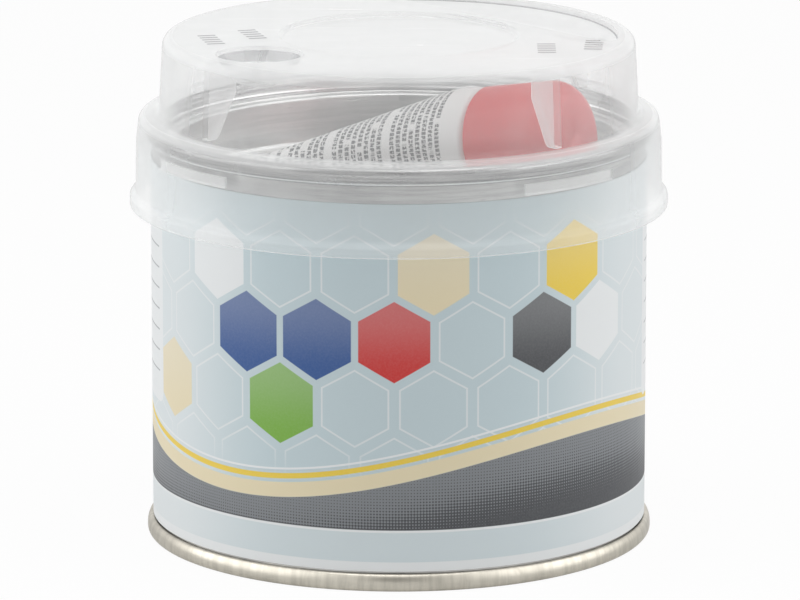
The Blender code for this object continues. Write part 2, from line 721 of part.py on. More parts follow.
def tube_side_offset():
    """How far the tube lies behind the tin's axis, so that its cap clears the nearest fin."""
    tube_azimuth = math.pi / 2 + TUBE_YAW
    swing = min(abs(tube_azimuth - azimuth) for azimuth in CAP_AZIMUTHS)
    tip_height = LID_FLOOR + TUBE_REST_GAP + TUBE_CAP_RADIUS + TUBE_CAP_LENGTH * math.sin(TUBE_TILT)
    offset = 0.0
    steps = 24
    for i in range(steps + 1):
        z = FIN_TIP_Z + (CAP_TOP - FIN_TIP_Z) * i / steps
        rise = z - tip_height
        if abs(rise) < TUBE_CAP_RADIUS:
            half_width = math.sqrt(TUBE_CAP_RADIUS**2 - rise**2)
            fin_side = fin_inner(z) * math.sin(swing) - FIN_THICKNESS / 2
            offset = max(offset, half_width + TUBE_FIN_GAP - fin_side)
    return offset


def make_tube_axis(collection):
    """Empty at the tube's shoulder, with its X axis along the tube towards the cap."""
    along = TUBE_TIP_REACH - TUBE_CAP_LENGTH * math.cos(TUBE_TILT)
    side = tube_side_offset()
    height = LID_FLOOR + TUBE_REST_GAP + TUBE_CAP_RADIUS * math.cos(TUBE_TILT)
    axis = bpy.data.objects.new("tube_axis", None)
    collection.objects.link(axis)
    axis.location = (
        along * math.cos(TUBE_YAW) - side * math.sin(TUBE_YAW),
        along * math.sin(TUBE_YAW) + side * math.cos(TUBE_YAW),
        height,
    )
    axis.rotation_euler = (0.0, -TUBE_TILT, TUBE_YAW)
    return axis


def lay_on(axis, pieces):
    """Hang pieces that are modelled along their own Z on the tube's axis."""
    for piece in pieces:
        piece.parent = axis
        piece.rotation_euler = (0.0, math.pi / 2, 0.0)


def main():
    clear_scene()
    tub = new_collection("body_filler_tub")
    tools = new_collection("cutters")

    tin = new_material("tinplate", (0.62, 0.60, 0.56), 0.28, metallic=1.0)
    paper = new_material("label_paper", (0.58, 0.67, 0.69), 0.45)
    sealant = new_material("seam_compound", (0.45, 0.42, 0.36), 0.6)
    putty = new_material("filler_putty", (0.66, 0.55, 0.36), 0.7)
    plastic = new_material("clear_plastic", (0.93, 0.94, 0.94), 0.18, transmission=0.9)
    aluminium = new_material("tube_white", (0.82, 0.82, 0.81), 0.4)
    paste = new_material("hardener_paste", (0.62, 0.06, 0.05), 0.5)
    red = new_material("tube_cap_red", (0.62, 0.06, 0.07), 0.35)

    make_can_body(tub, tin)
    make_bottom_end(tub, tin)
    make_mouth_ring(tub, tin)
    make_lever_lid(tub, tin)
    make_wrap_label(tub, paper)
    make_seam_compound(tub, sealant)
    make_filler_putty(tub, putty)
    make_mixing_cap(tub, tools, plastic)

    axis = make_tube_axis(tub)
    tube = make_hardener_tube(tub, aluminium)
    contents = make_hardener_paste(tub, paste)
    lay_on(axis, [tube, contents, make_tube_cap(tub, red)])
    bpy.context.view_layer.update()


main()
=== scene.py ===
"""Tub of two-part body filler: the finished surfaces over its CAD frame.

Laid out as an add-on and run as a script. Metres, +Z up, the front of the tub faces -Y.
Azimuths turn from the front towards +X. Every main size and place comes from the frame.
"""

import json
import math

import bmesh
import bpy
from bpy.props import FloatProperty, FloatVectorProperty, IntProperty, PointerProperty
from mathutils import Matrix, Vector


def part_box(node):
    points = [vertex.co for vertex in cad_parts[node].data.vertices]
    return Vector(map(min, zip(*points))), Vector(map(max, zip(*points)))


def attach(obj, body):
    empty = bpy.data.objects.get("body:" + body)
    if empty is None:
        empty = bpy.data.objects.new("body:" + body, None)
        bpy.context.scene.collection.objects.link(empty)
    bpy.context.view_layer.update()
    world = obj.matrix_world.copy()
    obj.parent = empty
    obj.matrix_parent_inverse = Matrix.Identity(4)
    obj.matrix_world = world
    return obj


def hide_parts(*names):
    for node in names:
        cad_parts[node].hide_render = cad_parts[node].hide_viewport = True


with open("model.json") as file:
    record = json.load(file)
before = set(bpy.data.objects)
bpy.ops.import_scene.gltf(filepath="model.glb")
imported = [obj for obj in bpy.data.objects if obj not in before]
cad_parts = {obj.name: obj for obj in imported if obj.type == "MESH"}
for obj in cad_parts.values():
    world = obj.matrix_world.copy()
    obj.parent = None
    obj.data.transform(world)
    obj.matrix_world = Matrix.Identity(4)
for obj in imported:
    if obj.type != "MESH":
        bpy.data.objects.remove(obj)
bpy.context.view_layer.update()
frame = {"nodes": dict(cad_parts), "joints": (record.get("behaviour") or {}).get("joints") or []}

bl_info = {
    "name": "Body Filler Tub",
    "version": (1, 0, 0),
    "blender": (4, 5, 0),
    "location": "View3D > Sidebar > Tub",
    "description": "Models and finishes a tub of two-part body filler",
    "category": "Add Mesh",
}

MM = 0.001

# Main sizes, from the frame
SEAM_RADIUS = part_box("bottom_end")[1].x
SOCKET_FOOT, CAN_HEIGHT = (corner.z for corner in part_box("mouth_ring"))
LABEL_LOW, LABEL_HIGH = (corner.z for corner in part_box("wrap_label"))
LABEL_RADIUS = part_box("wrap_label")[1].x
LID_UNDER, LID_TOP = (corner.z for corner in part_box("lever_lid"))
LID_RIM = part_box("lever_lid")[1].x
PUTTY_LOW, PUTTY_TOP = (corner.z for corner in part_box("filler_putty"))
PUTTY_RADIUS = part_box("filler_putty")[1].x
CAP_FOOT, CAP_TOP = (corner.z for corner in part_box("mixing_cap"))
LIP_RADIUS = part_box("mixing_cap")[1].x

# The tube lies along the axis that its cap turns about
TUBE_JOINT = next(joint for joint in frame["joints"] if joint["name"] == "tube_cap_unscrew")
TUBE_ORIGIN = Vector(TUBE_JOINT["pos_m"])
TUBE_AXIS = Vector(TUBE_JOINT["axis"]).normalized()


def along_tube(node):
    """Least and greatest distance of a CAD piece's points along the tube's axis."""
    piece = frame["nodes"][node]
    points = [piece.matrix_world @ vertex.co for vertex in piece.data.vertices]
    places = [(point - TUBE_ORIGIN).dot(TUBE_AXIS) for point in points]
    return min(places), max(places)


TUBE_TAIL = -along_tube("hardener_tube")[0]
TUBE_TIP = along_tube("tube_cap")[1]


def srgb(*values):
    """A colour as it is read off a screen, made linear."""
    shares = [value / 255 for value in values]
    return tuple(c / 12.92 if c <= 0.04045 else ((c + 0.055) / 1.055) ** 2.4 for c in shares)


def number(name, description, default, **settings):
    return FloatProperty(name=name, description=description, default=default, **settings)


def length(name, description, default):
    return number(name, description, default, min=0.0, unit="LENGTH", subtype="DISTANCE", precision=5)


def share(name, description, default):
    return number(name, description, default, min=0.0, max=1.0, subtype="FACTOR")


def angle(name, description, degrees):
    return number(name, description, math.radians(degrees), unit="ROTATION", subtype="ANGLE")


def colour(name, description, default):
    limits = {"size": 3, "min": 0.0, "max": 1.0, "subtype": "COLOR"}
    return FloatVectorProperty(name=name, description=description, default=default, **limits)


def count(name, description, default):
    return IntProperty(name=name, description=description, default=default, min=3)


class TinSettings(bpy.types.PropertyGroup):
    """Plate, seams and lid of the tin"""

    steps: count("Steps", "Facets round a turned piece", 160)
    plate: length("Plate", "Thickness of the tinplate", 0.3 * MM)
    seam_height: length("Seam height", "Height of a double seam", 3.5 * MM)
    seam_play: length("Seam play", "Gap between the folded layers of a seam", 0.18 * MM)
    seam_round: length("Seam round", "Radius on a seam's edges", 1.0 * MM)
    seam_crown: length("Seam crown", "Height of the rounded fold at a seam's foot", 2.2 * MM)
    flange_depth: length("Flange depth", "Depth of the wall's flange under a seam's rim", 0.9 * MM)
    fold_round: length("Fold round", "Radius where an end turns up to its seam", 0.8 * MM)
    bottom_recess: length("Bottom recess", "Depth of the bottom's panel above the bench", 3.6 * MM)
    ring_depth: length("Ring depth", "Depth of the ring's ledge under the rim", 4.4 * MM)
    chuck_lean: length("Chuck lean", "How far the ring's wall leans in", 0.8 * MM)
    ledge_width: length("Ledge width", "Width of the ledge that the lid's rim lies on", 2.7 * MM)
    lid_play: length("Lid play", "Gap between lid and ring", 0.2 * MM)
    lid_corner: length("Lid corner", "Radius round the lid's floor", 1.2 * MM)
    tin: colour("Tin", "Bright tinplate", srgb(203, 198, 186))
    shade: colour("Shade", "Duller patches of the plate", srgb(152, 148, 138))
    inner_tin: colour("Inner tin", "Tinplate of the ring and the wall", srgb(204, 204, 203))
    inner_shade: colour("Inner shade", "Duller streaks of the ring and the wall", srgb(116, 116, 117))
    lid_tin: colour("Lid tin", "Tinplate of the lid's dish", srgb(226, 226, 225))
    lid_shade: colour("Lid shade", "Duller streaks of the lid's dish", srgb(146, 146, 147))
    compound: colour("Compound", "Lining compound in the seams", srgb(150, 142, 128))
    putty: colour("Putty", "Filler in the tin", srgb(199, 177, 128))


class LabelSettings(bpy.types.PropertyGroup):
    """Printed wrap"""

    paper: length("Paper", "Thickness of the wrap", 0.2 * MM)
    overlap: length("Overlap", "Width of the glued overlap at the back", 9.0 * MM)
    ground: colour("Ground", "Pale blue of the print's ground", srgb(198, 214, 219))
    white: colour("White", "Unprinted paper", srgb(236, 239, 240))
    blue: colour("Blue", "Blue cells", srgb(41, 84, 148))
    red: colour("Red", "Red cells", srgb(205, 48, 44))
    green: colour("Green", "Green cells", srgb(122, 176, 62))
    yellow: colour("Yellow", "Thin coat and cells", srgb(240, 208, 74))
    cream: colour("Cream", "Thick coat and cells", srgb(234, 221, 186))
    dark: colour("Dark", "Dark ground at the foot", srgb(66, 68, 72))
    grey: colour("Grey", "Lighter part of the dark ground", srgb(142, 146, 150))


class CapSettings(bpy.types.PropertyGroup):
    """Clear mixing cap"""

    steps: count("Steps", "Facets round the cap", 192)
    wall: length("Wall", "Wall of the moulding", 0.95 * MM)
    fit: length("Fit", "Gap between skirt and seam", 0.3 * MM)
    seat: length("Seat", "Gap between ledge and seam", 0.3 * MM)
    dome_inset: length("Dome inset", "How far the dome stands in from the seam", 2.9 * MM)
    dome_draft: length("Dome draft", "How far the dome's wall leans in", 0.7 * MM)
    top_round: length("Top round", "Radius round the cap's top", 2.1 * MM)
    foot_round: length("Foot round", "Radius between dome and ledge", 1.4 * MM)
    shoulder_round: length("Shoulder round", "Radius between ledge and skirt", 1.4 * MM)
    disc_sink: length("Disc sink", "Depth of the sunk centre disc", 0.9 * MM)
    turn: angle("Turn", "Azimuth of the middle between the front fins", -6.3)
    spread: angle("Spread", "Half the angle between the front fins", 47.7)
    bowl_azimuth: angle("Bowl azimuth", "Where the dosing bowl sits", -52)
    recess_azimuth: angle("Recess azimuth", "Where the filler recess sits", 131)
    plastic: colour("Plastic", "Colour of the clear plastic", srgb(250, 251, 251))
    # The ticks' dull tone, also used as painted shade: a grey band on the bowl's wall under its rim and grey
    # lines along the recess's floor edges
    engraved: colour("Engraved", "Dull tone of the ticks and the bowl's wall", srgb(168, 170, 172))
    veil: share("Veil", "How white a wall's surface looks from straight on", 0.165)
    rib_veil: share("Rib veil", "How white a lug's surface looks from straight on", 0.58)
    corner_veil: share("Corner veil", "How white a fin or a thick corner looks from straight on", 0.3)
    rim_veil: share("Rim veil", "How white the edges of fins and lugs look from straight on", 0.62)
    # How dense that grey looks, the painted shade included
    engraved_veil: share("Engraved veil", "How dense the dull tone looks from straight on", 0.42)
    edge_veil: number("Edge veil", "How fast a surface whitens edge on", 0.95, min=0.0)


class TubeSettings(bpy.types.PropertyGroup):
    """Tube of hardener and its cap"""

    steps: count("Steps", "Facets round the tube", 64)
    radius: length("Radius", "Radius of the tube at its shoulder", 10.9 * MM)
    neck_top: length("Neck top", "From the shoulder to the neck's end", 12.2 * MM)
    body_length: length("Body length", "From the shoulder to the end of the crimp", TUBE_TAIL)
    crimp_length: length("Crimp length", "Length of the folded tail", 5.5 * MM)
    crimp_thickness: length("Crimp thickness", "Thickness of the folded tail", 0.9 * MM)
    cap_length: length("Cap length", "From the shoulder to the cap's end", TUBE_TIP)
    cap_round: length("Cap round", "Radius round the cap's end", 4.6 * MM)
    lacquer: colour("Lacquer", "White of the tube", srgb(235, 235, 234))
    ink: colour("Ink", "Fine marks on the tube", srgb(70, 72, 76))
    cap: colour("Cap", "Red of the screw cap", srgb(212, 44, 46))
    paste: colour("Paste", "Hardener in the tube", srgb(190, 52, 44))


class StageSettings(bpy.types.PropertyGroup):
    """Camera and light"""

    distance: length("Distance", "From the tin's axis to the camera", 1287.0 * MM)
    height: length("Height", "Height of the camera", 344.7 * MM)
    aside: length("Aside", "Camera's offset to the right", 0.23 * MM)
    pitch: angle("Pitch", "How far the camera looks down", 13.035)
    lens: number("Lens", "Focal length in millimetres", 296.65, unit="CAMERA")
    floor: colour("Floor", "Pale floor", (0.88, 0.88, 0.88))


def deselect_all():
    if bpy.context.mode != "OBJECT":
        bpy.ops.object.mode_set(mode="OBJECT")
    bpy.ops.object.select_all(action="DESELECT")


def make_active(piece):
    deselect_all()
    piece.select_set(True)
    bpy.context.view_layer.objects.active = piece


def edit_all():
    """Enter edit mode with the whole mesh selected."""
    bpy.ops.object.mode_set(mode="EDIT")
    bpy.ops.mesh.select_all(action="SELECT")


def add_primitive(name, add, **settings):
    """Add a primitive with nothing else selected, and name it."""
    deselect_all()
    add(**settings)
    piece = bpy.context.active_object
    piece.name = name
    piece.data.name = name
    return piece


def start_point(name):
    """A new mesh in edit mode with one selected vertex at the origin."""
    piece = add_primitive(name, bpy.ops.mesh.primitive_plane_add, size=1.0)
    edit_all()
    bpy.ops.mesh.merge(type="CENTER")
    return piece


def draw_chain(points):
    """Move the selected vertex to the first point and extrude it through the others."""
    bpy.ops.transform.translate(value=points[0])
    for here, there in zip(points, points[1:]):
        step = Vector(there) - Vector(here)
        bpy.ops.mesh.extrude_region_move(TRANSFORM_OT_translate={"value": step})
    bpy.ops.mesh.select_all(action="SELECT")


def close_chain(piece):
    """Join the two free ends of the chain by an edge."""
    bpy.ops.object.mode_set(mode="OBJECT")
    uses = [0] * len(piece.data.vertices)
    for edge in piece.data.edges:
        edge.select = False
        for index in edge.vertices:
            uses[index] += 1
    for vertex in piece.data.vertices:
        vertex.select = uses[vertex.index] == 1
    bpy.ops.object.mode_set(mode="EDIT")
    bpy.ops.mesh.select_mode(type="VERT")
    bpy.ops.mesh.edge_face_add()
    bpy.ops.mesh.select_all(action="SELECT")


def tidy_mesh():
    """Merge doubles, turn the faces outwards and leave edit mode."""
    bpy.ops.mesh.select_all(action="SELECT")
    bpy.ops.mesh.remove_doubles(threshold=1e-7)
    bpy.ops.mesh.normals_make_consistent(inside=False)
    bpy.ops.object.mode_set(mode="OBJECT")


def spin_round(steps, sweep):
    """Spin what is selected about the Z axis."""
    bpy.ops.mesh.spin(steps=steps, angle=sweep, center=(0, 0, 0), axis=(0, 0, 1))
    tidy_mesh()


def spun_piece(name, outline, steps):
    """A half section of (radius, height) points spun about the Z axis.

    A section that starts and ends on the axis closes itself there.
    """
    piece = start_point(name)
    draw_chain([(radius, 0.0, height) for radius, height in outline])
    if outline[0][0] > 0.0:
        close_chain(piece)
    spin_round(steps, 2 * math.pi)
    return piece


def swept_piece(name, section, steps, middle, sweep):
    """A closed section of (radius, height) points swept to both sides of an azimuth, with filled ends."""
    piece = start_point(name)
    ahead = heading(middle + sweep / 2)
    draw_chain([ahead * radius + Vector((0, 0, height)) for radius, height in section])
    bpy.ops.mesh.edge_face_add()
    spin_round(steps, sweep)
    return piece


def slab_piece(name, points, thickness, edge_round=0.0):
    """A flat outline of 3D points extruded by a vector, with softened edges."""
    piece = start_point(name)
    draw_chain(points)
    bpy.ops.mesh.edge_face_add()
    bpy.ops.mesh.extrude_region_move(TRANSFORM_OT_translate={"value": thickness})
    bpy.ops.mesh.select_all(action="SELECT")
    if edge_round:
        bpy.ops.mesh.bevel(offset=edge_round, segments=2, affect="EDGES")
    tidy_mesh()
    return piece


def combine(piece, tool, operation):
    """Join a tool to a piece or cut it out, and remove the tool."""
    make_active(piece)
    step = piece.modifiers.new(tool.name, "BOOLEAN")
    step.operation = operation
    step.solver = "EXACT"
    step.object = tool
    bpy.ops.object.modifier_apply(modifier=step.name)
    bpy.data.objects.remove(tool, do_unlink=True)


def put_in_place(piece, matrix):
    """Move a piece that was modelled at the origin, with its place kept in its mesh."""
    make_active(piece)
    piece.matrix_world = matrix
    bpy.ops.object.transform_apply(location=True, rotation=True, scale=True)


def give_materials(piece, materials, used, other=None, picks=None):
    """Put materials in a piece's slots: one on its faces, another on those that a test picks."""
    for material in materials:
        piece.data.materials.append(material)
    for face in piece.data.polygons:
        face.material_index = other if picks and picks(face) else used


def finish_piece(piece, material, body, replaced=(), sharp=40):
    """Shade a piece, give it its material and hang it on its body."""
    make_active(piece)
    bpy.ops.object.shade_smooth_by_angle(angle=math.radians(sharp))
    if not piece.data.materials:
        piece.data.materials.append(material)
    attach(piece, body)
    if replaced:
        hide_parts(*replaced)
    deselect_all()


def arc(centre, radius, start, end, points):
    """Points of an arc in a half section, in degrees from the outward direction."""
    turns = [math.radians(start + (end - start) * i / (points - 1)) for i in range(points)]
    return [(centre[0] + radius * math.cos(t), centre[1] + radius * math.sin(t)) for t in turns]


def oval(centre, wide, tall, start, end, points):
    """Points of an upright oval in a half section, in degrees from the outward direction."""
    unit = arc((0.0, 0.0), 1.0, start, end, points)
    return [(centre[0] + wide * x, centre[1] + tall * y) for x, y in unit]


def eased_run(start, end, steps, upright=False):
    """Points of an S-shaped run in a half section, level at its ends or upright there."""
    shares = [i / steps for i in range(steps + 1)]
    eased = [s * s * (3 - 2 * s) for s in shares]
    pairs = zip(eased, shares) if upright else zip(shares, eased)
    out, rise = end[0] - start[0], end[1] - start[1]
    return [(start[0] + out * x, start[1] + rise * y) for x, y in pairs]


def heading(azimuth):
    """Unit vector on the floor that points to an azimuth."""
    return Vector((math.sin(azimuth), -math.cos(azimuth), 0.0))


def beside(ahead):
    """Unit vector on the floor at a right angle to a heading."""
    return Vector((-ahead.y, ahead.x, 0.0))


# Half width of a printed edge's blur, in millimetres
PRINT_EDGE = 0.09


class Nodes:
    """Adds nodes to one tree and hands back their sockets."""

    rows = 8
    spacing = (220, -180)

    def __init__(self, tree):
        self.tree = tree
        self.placed = 0
        self.place = None

    def add(self, kind, inputs=None, **settings):
        node = self.tree.nodes.new(kind)
        column, row = divmod(self.placed, self.rows)
        node.location = (self.spacing[0] * column, self.spacing[1] * row)
        self.placed += 1
        for key, value in settings.items():
            setattr(node, key, value)
        for key, value in (inputs or {}).items():
            self.feed(node.inputs[key], value)
        return node

    def feed(self, socket, value):
        if isinstance(value, bpy.types.NodeSocket):
            self.tree.links.new(value, socket)
        elif socket.type == "RGBA" and len(value) == 3:
            socket.default_value = (*value, 1.0)
        else:
            socket.default_value = value

    def feed_named(self, sockets, values):
        """Feed sockets by keywords, in which an underscore stands for a space."""
        for key, value in values.items():
            self.feed(sockets[key.replace("_", " ")], value)

    def math(self, operation, *values):
        node = self.add("ShaderNodeMath", operation=operation)
        for socket, value in zip(node.inputs, values):
            self.feed(socket, value)
        return node.outputs[0]

    def times(self, value, factor, *plus):
        """A product, with a third value added where one is given."""
        return self.math("MULTIPLY_ADD" if plus else "MULTIPLY", value, factor, *plus)

    def minus(self, value, less):
        return self.math("SUBTRACT", value, less)

    def away(self, value, middle):
        """How far a value lies from a middle, on either side."""
        return self.math("ABSOLUTE", self.minus(value, middle))

    def mix(self, factor, under, over):
        node = self.add("ShaderNodeMix", {0: factor, 6: under, 7: over}, data_type="RGBA")
        return node.outputs[2]

    def fade(self, value, low, high, to_low=0.0, to_high=1.0):
        """Smooth change from one number to another while a value runs from low to high."""
        limits = {"From Min": low, "From Max": high, "To Min": to_low, "To Max": to_high}
        node = self.add("ShaderNodeMapRange", {"Value": value, **limits}, interpolation_type="SMOOTHSTEP")
        return node.outputs["Result"]

    def above(self, value, level):
        """Mask of the places where a value is over a printed edge's level."""
        return self.fade(value, level - PRINT_EDGE, level + PRINT_EDGE)

    def below(self, value, level=0.0):
        """Mask of the places where a value is under a printed edge's level."""
        return self.fade(value, level - PRINT_EDGE, level + PRINT_EDGE, 1.0, 0.0)

    def between(self, value, low, high, soft=PRINT_EDGE):
        """Mask of the places where a value lies between two numbers."""
        rise = self.fade(value, low - soft, low + soft)
        fall = self.fade(value, high - soft, high + soft, 1.0, 0.0)
        return self.times(rise, fall)

    def noise(self, vector, scale, detail=3.0, roughness=0.5):
        values = {"Vector": vector, "Scale": scale, "Detail": detail, "Roughness": roughness}
        return self.add("ShaderNodeTexNoise", values).outputs["Fac"]

    def vector(self, x, y, z):
        return self.add("ShaderNodeCombineXYZ", {"X": x, "Y": y, "Z": z}).outputs[0]

    def scaled(self, values, factors):
        """A vector of three values, each times its own factor."""
        return self.vector(*(self.times(value, factor) for value, factor in zip(values, factors)))

    def apart(self, vector):
        return self.add("ShaderNodeSeparateXYZ", {"Vector": vector}).outputs

    def object_place(self):
        if self.place is None:
            self.place = self.add("ShaderNodeTexCoord").outputs["Object"]
        return self.place

    def bump(self, height, distance, strength):
        values = {"Height": height, "Distance": distance, "Strength": strength}
        return self.add("ShaderNodeBump", values).outputs["Normal"]

    def group(self, tree, **inputs):
        node = self.add("ShaderNodeGroup", node_tree=tree)
        self.feed_named(node.inputs, inputs)
        return node.outputs

    def turned(self):
        return self.group(turned_place(), Place=self.object_place())

    def marks(self, smudges, scratches):
        """Marks of handling, at the scales given for smudges and scratches."""
        scales = {"Smudge_Scale": smudges, "Scratch_Scale": scratches}
        return self.group(handling_marks(), Place=self.object_place(), **scales)

    def dress(self, **inputs):
        """Feed the material's Principled shader."""
        self.feed_named(self.tree.nodes["Principled BSDF"].inputs, inputs)


def shader_group(name, inputs, outputs):
    """A new node group's helper and its inner sockets: Place is a vector, the others are numbers."""
    tree = bpy.data.node_groups.new(name, "ShaderNodeTree")
    for side, sockets in (("INPUT", inputs), ("OUTPUT", outputs)):
        for socket in sockets:
            kind = "NodeSocketVector" if socket == "Place" else "NodeSocketFloat"
            tree.interface.new_socket(name=socket, in_out=side, socket_type=kind)
    nodes = Nodes(tree)
    return nodes, nodes.add("NodeGroupInput").outputs, nodes.add("NodeGroupOutput").inputs


def built_once(build):
    """Turn a node group's builder into a getter, which builds the group when it is first asked for."""
    name = build.__name__.replace("_", " ").title()

    def get():
        if name not in bpy.data.node_groups:
            build(name)
        return bpy.data.node_groups[name]

    return get


@built_once
def turned_place(name):
    """Place on a turned piece in millimetres: round the label's girth, up, and out from the axis."""
    nodes, entry, leave = shader_group(name, ["Place"], ["Across", "Up", "Out"])
    x, y, z = nodes.apart(entry["Place"])
    azimuth = nodes.math("ARCTAN2", x, nodes.times(y, -1.0))
    out = nodes.math("SQRT", nodes.times(x, x, nodes.times(y, y)))
    nodes.feed(leave["Across"], nodes.times(azimuth, LABEL_RADIUS / MM))
    nodes.feed(leave["Up"], nodes.times(z, 1 / MM))
    nodes.feed(leave["Out"], nodes.times(out, 1 / MM))


@built_once
def handling_marks(name):
    """Marks of handling: soft smudges and thin scratches, as masks."""
    inputs = ["Place", "Smudge Scale", "Scratch Scale"]
    nodes, entry, leave = shader_group(name, inputs, ["Smudges", "Scratches"])
    cloud = nodes.noise(entry["Place"], entry["Smudge Scale"], detail=4.0, roughness=0.6)
    nodes.feed(leave["Smudges"], nodes.fade(cloud, 0.38, 0.72))
    slanted = {"Vector": entry["Place"], "Rotation": (0.5, 0.35, 0.8), "Scale": (1, 26, 1)}
    drawn = nodes.add("ShaderNodeMapping", slanted).outputs[0]
    streak = nodes.noise(drawn, entry["Scratch Scale"], detail=2.0)
    nodes.feed(leave["Scratches"], nodes.fade(streak, 0.66, 0.74))


def hex_reach(nodes, aside, above):
    """Distance from the middle of an upright six-sided cell, measured square to its sides."""
    slant = nodes.times(above, math.sqrt(0.75), nodes.times(aside, 0.5))
    return nodes.math("MAXIMUM", aside, slant)


@built_once
def hex_tile(name):
    """A six-sided printed cell, sizes in millimetres."""
    inputs = ["Across", "Up", "Middle Across", "Middle Up", "Half Width"]
    nodes, entry, leave = shader_group(name, inputs, ["Fill"])
    ways = [nodes.away(entry[axis], entry[f"Middle {axis}"]) for axis in ("Across", "Up")]
    past_edge = nodes.minus(hex_reach(nodes, *ways), entry["Half Width"])
    nodes.feed(leave["Fill"], nodes.below(past_edge))


@built_once
def honeycomb(name):
    """Distance to the nearest border of a honeycomb of upright cells, in millimetres."""
    axes = ["Across", "Up"]
    nodes, entry, leave = shader_group(name, axes, ["Edge"])
    sizes = (CELL_PITCH, CELL_PITCH * math.sqrt(3))
    reaches = []
    for shift in (0.0, 0.5):
        ways = []
        for axis, origin, size in zip(axes, CELL_ORIGIN, sizes):
            start = nodes.minus(entry[axis], origin + (shift - 0.5) * size)
            ways.append(nodes.away(nodes.math("FLOORED_MODULO", start, size), size / 2))
        reaches.append(hex_reach(nodes, *ways))
    nodes.feed(leave["Edge"], nodes.minus(CELL_PITCH / 2, nodes.math("MINIMUM", *reaches)))


@built_once
def round_panel(name):
    """A printed panel with round corners, sizes in millimetres."""
    inputs = ["Across", "Up", "Middle Across", "Middle Up", "Half Width", "Half Height", "Corner"]
    nodes, entry, leave = shader_group(name, inputs, ["Fill"])
    ends = []
    for axis, size in (("Across", "Half Width"), ("Up", "Half Height")):
        far = nodes.away(entry[axis], entry[f"Middle {axis}"])
        inner = nodes.minus(entry[size], entry["Corner"])
        over = nodes.math("MAXIMUM", nodes.minus(far, inner), 0.0)
        ends.append(nodes.times(over, over))
    past_edge = nodes.minus(nodes.math("SQRT", nodes.math("ADD", *ends)), entry["Corner"])
    nodes.feed(leave["Fill"], nodes.below(past_edge))


def new_material(name):
    """A material with a plain Principled shader, and its helper."""
    material = bpy.data.materials.new(name)
    material.use_nodes = True
    for node, place in (("Principled BSDF", 2600), ("Material Output", 2900)):
        material.node_tree.nodes[node].location = (place, 0)
    return material, Nodes(material.node_tree)


# Painted highlight: a near-white line round the ring's seam that stands in for light caught on its rounded
# foot. Its half width and blur in millimetres, and its tone
HIGHLIGHT_HALF = 0.14
HIGHLIGHT_BLUR = 0.06
HIGHLIGHT_TIN = (0.95, 0.95, 0.95)


def tin_material(name, bright, dull, roughness, grain, around, along, streaks, polished=None):
    """Tinplate with drawn grain, duller patches, thin scratches and, where asked, a painted highlight line.

    grain is the strength of its relief, around and along are its lines per millimetre round the tin and
    along the section, and streaks is how dull it gets. The last argument is a height in millimetres for a
    painted highlight: a near-white line that stands in for light caught on the seam's rounded foot.
    """
    material, nodes = new_material(name)
    turned = nodes.turned()
    marks = nodes.marks(46.0, 38.0)
    lines = nodes.scaled((turned["Across"], turned["Up"], turned["Out"]), (around, along, along))
    spun = nodes.noise(lines, 1.0, detail=4.0, roughness=0.65)
    tone = nodes.mix(nodes.times(marks["Smudges"], 0.45), bright, dull)
    tone = nodes.mix(nodes.fade(spun, 0.35, 0.68, 0.0, streaks), tone, dull)
    # A near-white band at one height round the tin: painted highlight.
    if polished:
        limits = (polished - HIGHLIGHT_HALF, polished + HIGHLIGHT_HALF, HIGHLIGHT_BLUR)
        tone = nodes.mix(nodes.between(turned["Up"], *limits), tone, HIGHLIGHT_TIN)
    rough = nodes.times(marks["Smudges"], 0.10, roughness)
    rough = nodes.times(marks["Scratches"], 0.14, rough)
    rough = nodes.times(spun, 0.10, rough)
    relief = nodes.bump(spun, 0.02 * MM, grain)
    nodes.dress(Base_Color=tone, Metallic=1.0, Roughness=rough, Normal=relief)
    return material


# The print, in millimetres: honeycomb cells as (column, row, colour)
CELL_PITCH = 15.4
CELL_HALF_WIDTH = 7.0
CELL_LINE = (0.95, 1.3, 0.08)
CELL_BAND = (26.0, 72.0, 6.0)
CELL_ORIGIN = (-8.6, 36.4)
CELLS = (
    (-2, 1, "blue"),
    (-1, 1, "blue"),
    (-2, 2, "white"),
    (-1, 0, "green"),
    (0, 1, "red"),
    (1, 2, "cream"),
    (2, 1, "dark"),
    (3, 2, "yellow"),
    (-3, 0, "cream"),
    (3, 1, "white"),
    (7, 1, "blue"),
    (7, 2, "red"),
    (8, 1, "cream"),
    (-9, 1, "dark"),
    (-8, 2, "green"),
    (-9, 2, "yellow"),
    (-8, 1, "white"),
)

# The coats at its foot: heights above the wave, and the dot screen of the ground below it
COATS = ((0.0, 3.0, "cream"), (3.7, 4.8, "yellow"), (5.5, 5.9, "white"))
WAVE_LEVEL = 22.5
WAVE_RISE = 5.5
WAVE_LENGTH = 2 * math.pi * LABEL_RADIUS / MM / 2
WAVE_SHIFT = 4.0
SCREEN_TURN = 5.2
SCREEN_DEPTH = 16.0

# Its ground with painted side light, the lines round its foot and the two write-on panels
GROUND_SIDE_LIGHT = (24.0, 56.0, 0.0, 0.6)
FOOT_LINE = 12.2
FOOT_LINE_WIDTH = 0.22
FOOT_HALO = 0.5
FOOT_MARGIN = 5.8
NOTE_PANELS = (-78.0, 84.0)
NOTE_PANEL = {"Middle_Up": 48.3, "Half_Width": 17.0, "Half_Height": 18.9, "Corner": 2.5}
NOTE_RULES = {"Middle_Up": 48.3, "Half_Width": 14.6, "Half_Height": 16.6, "Corner": 0.4}
NOTE_PITCH = 4.2


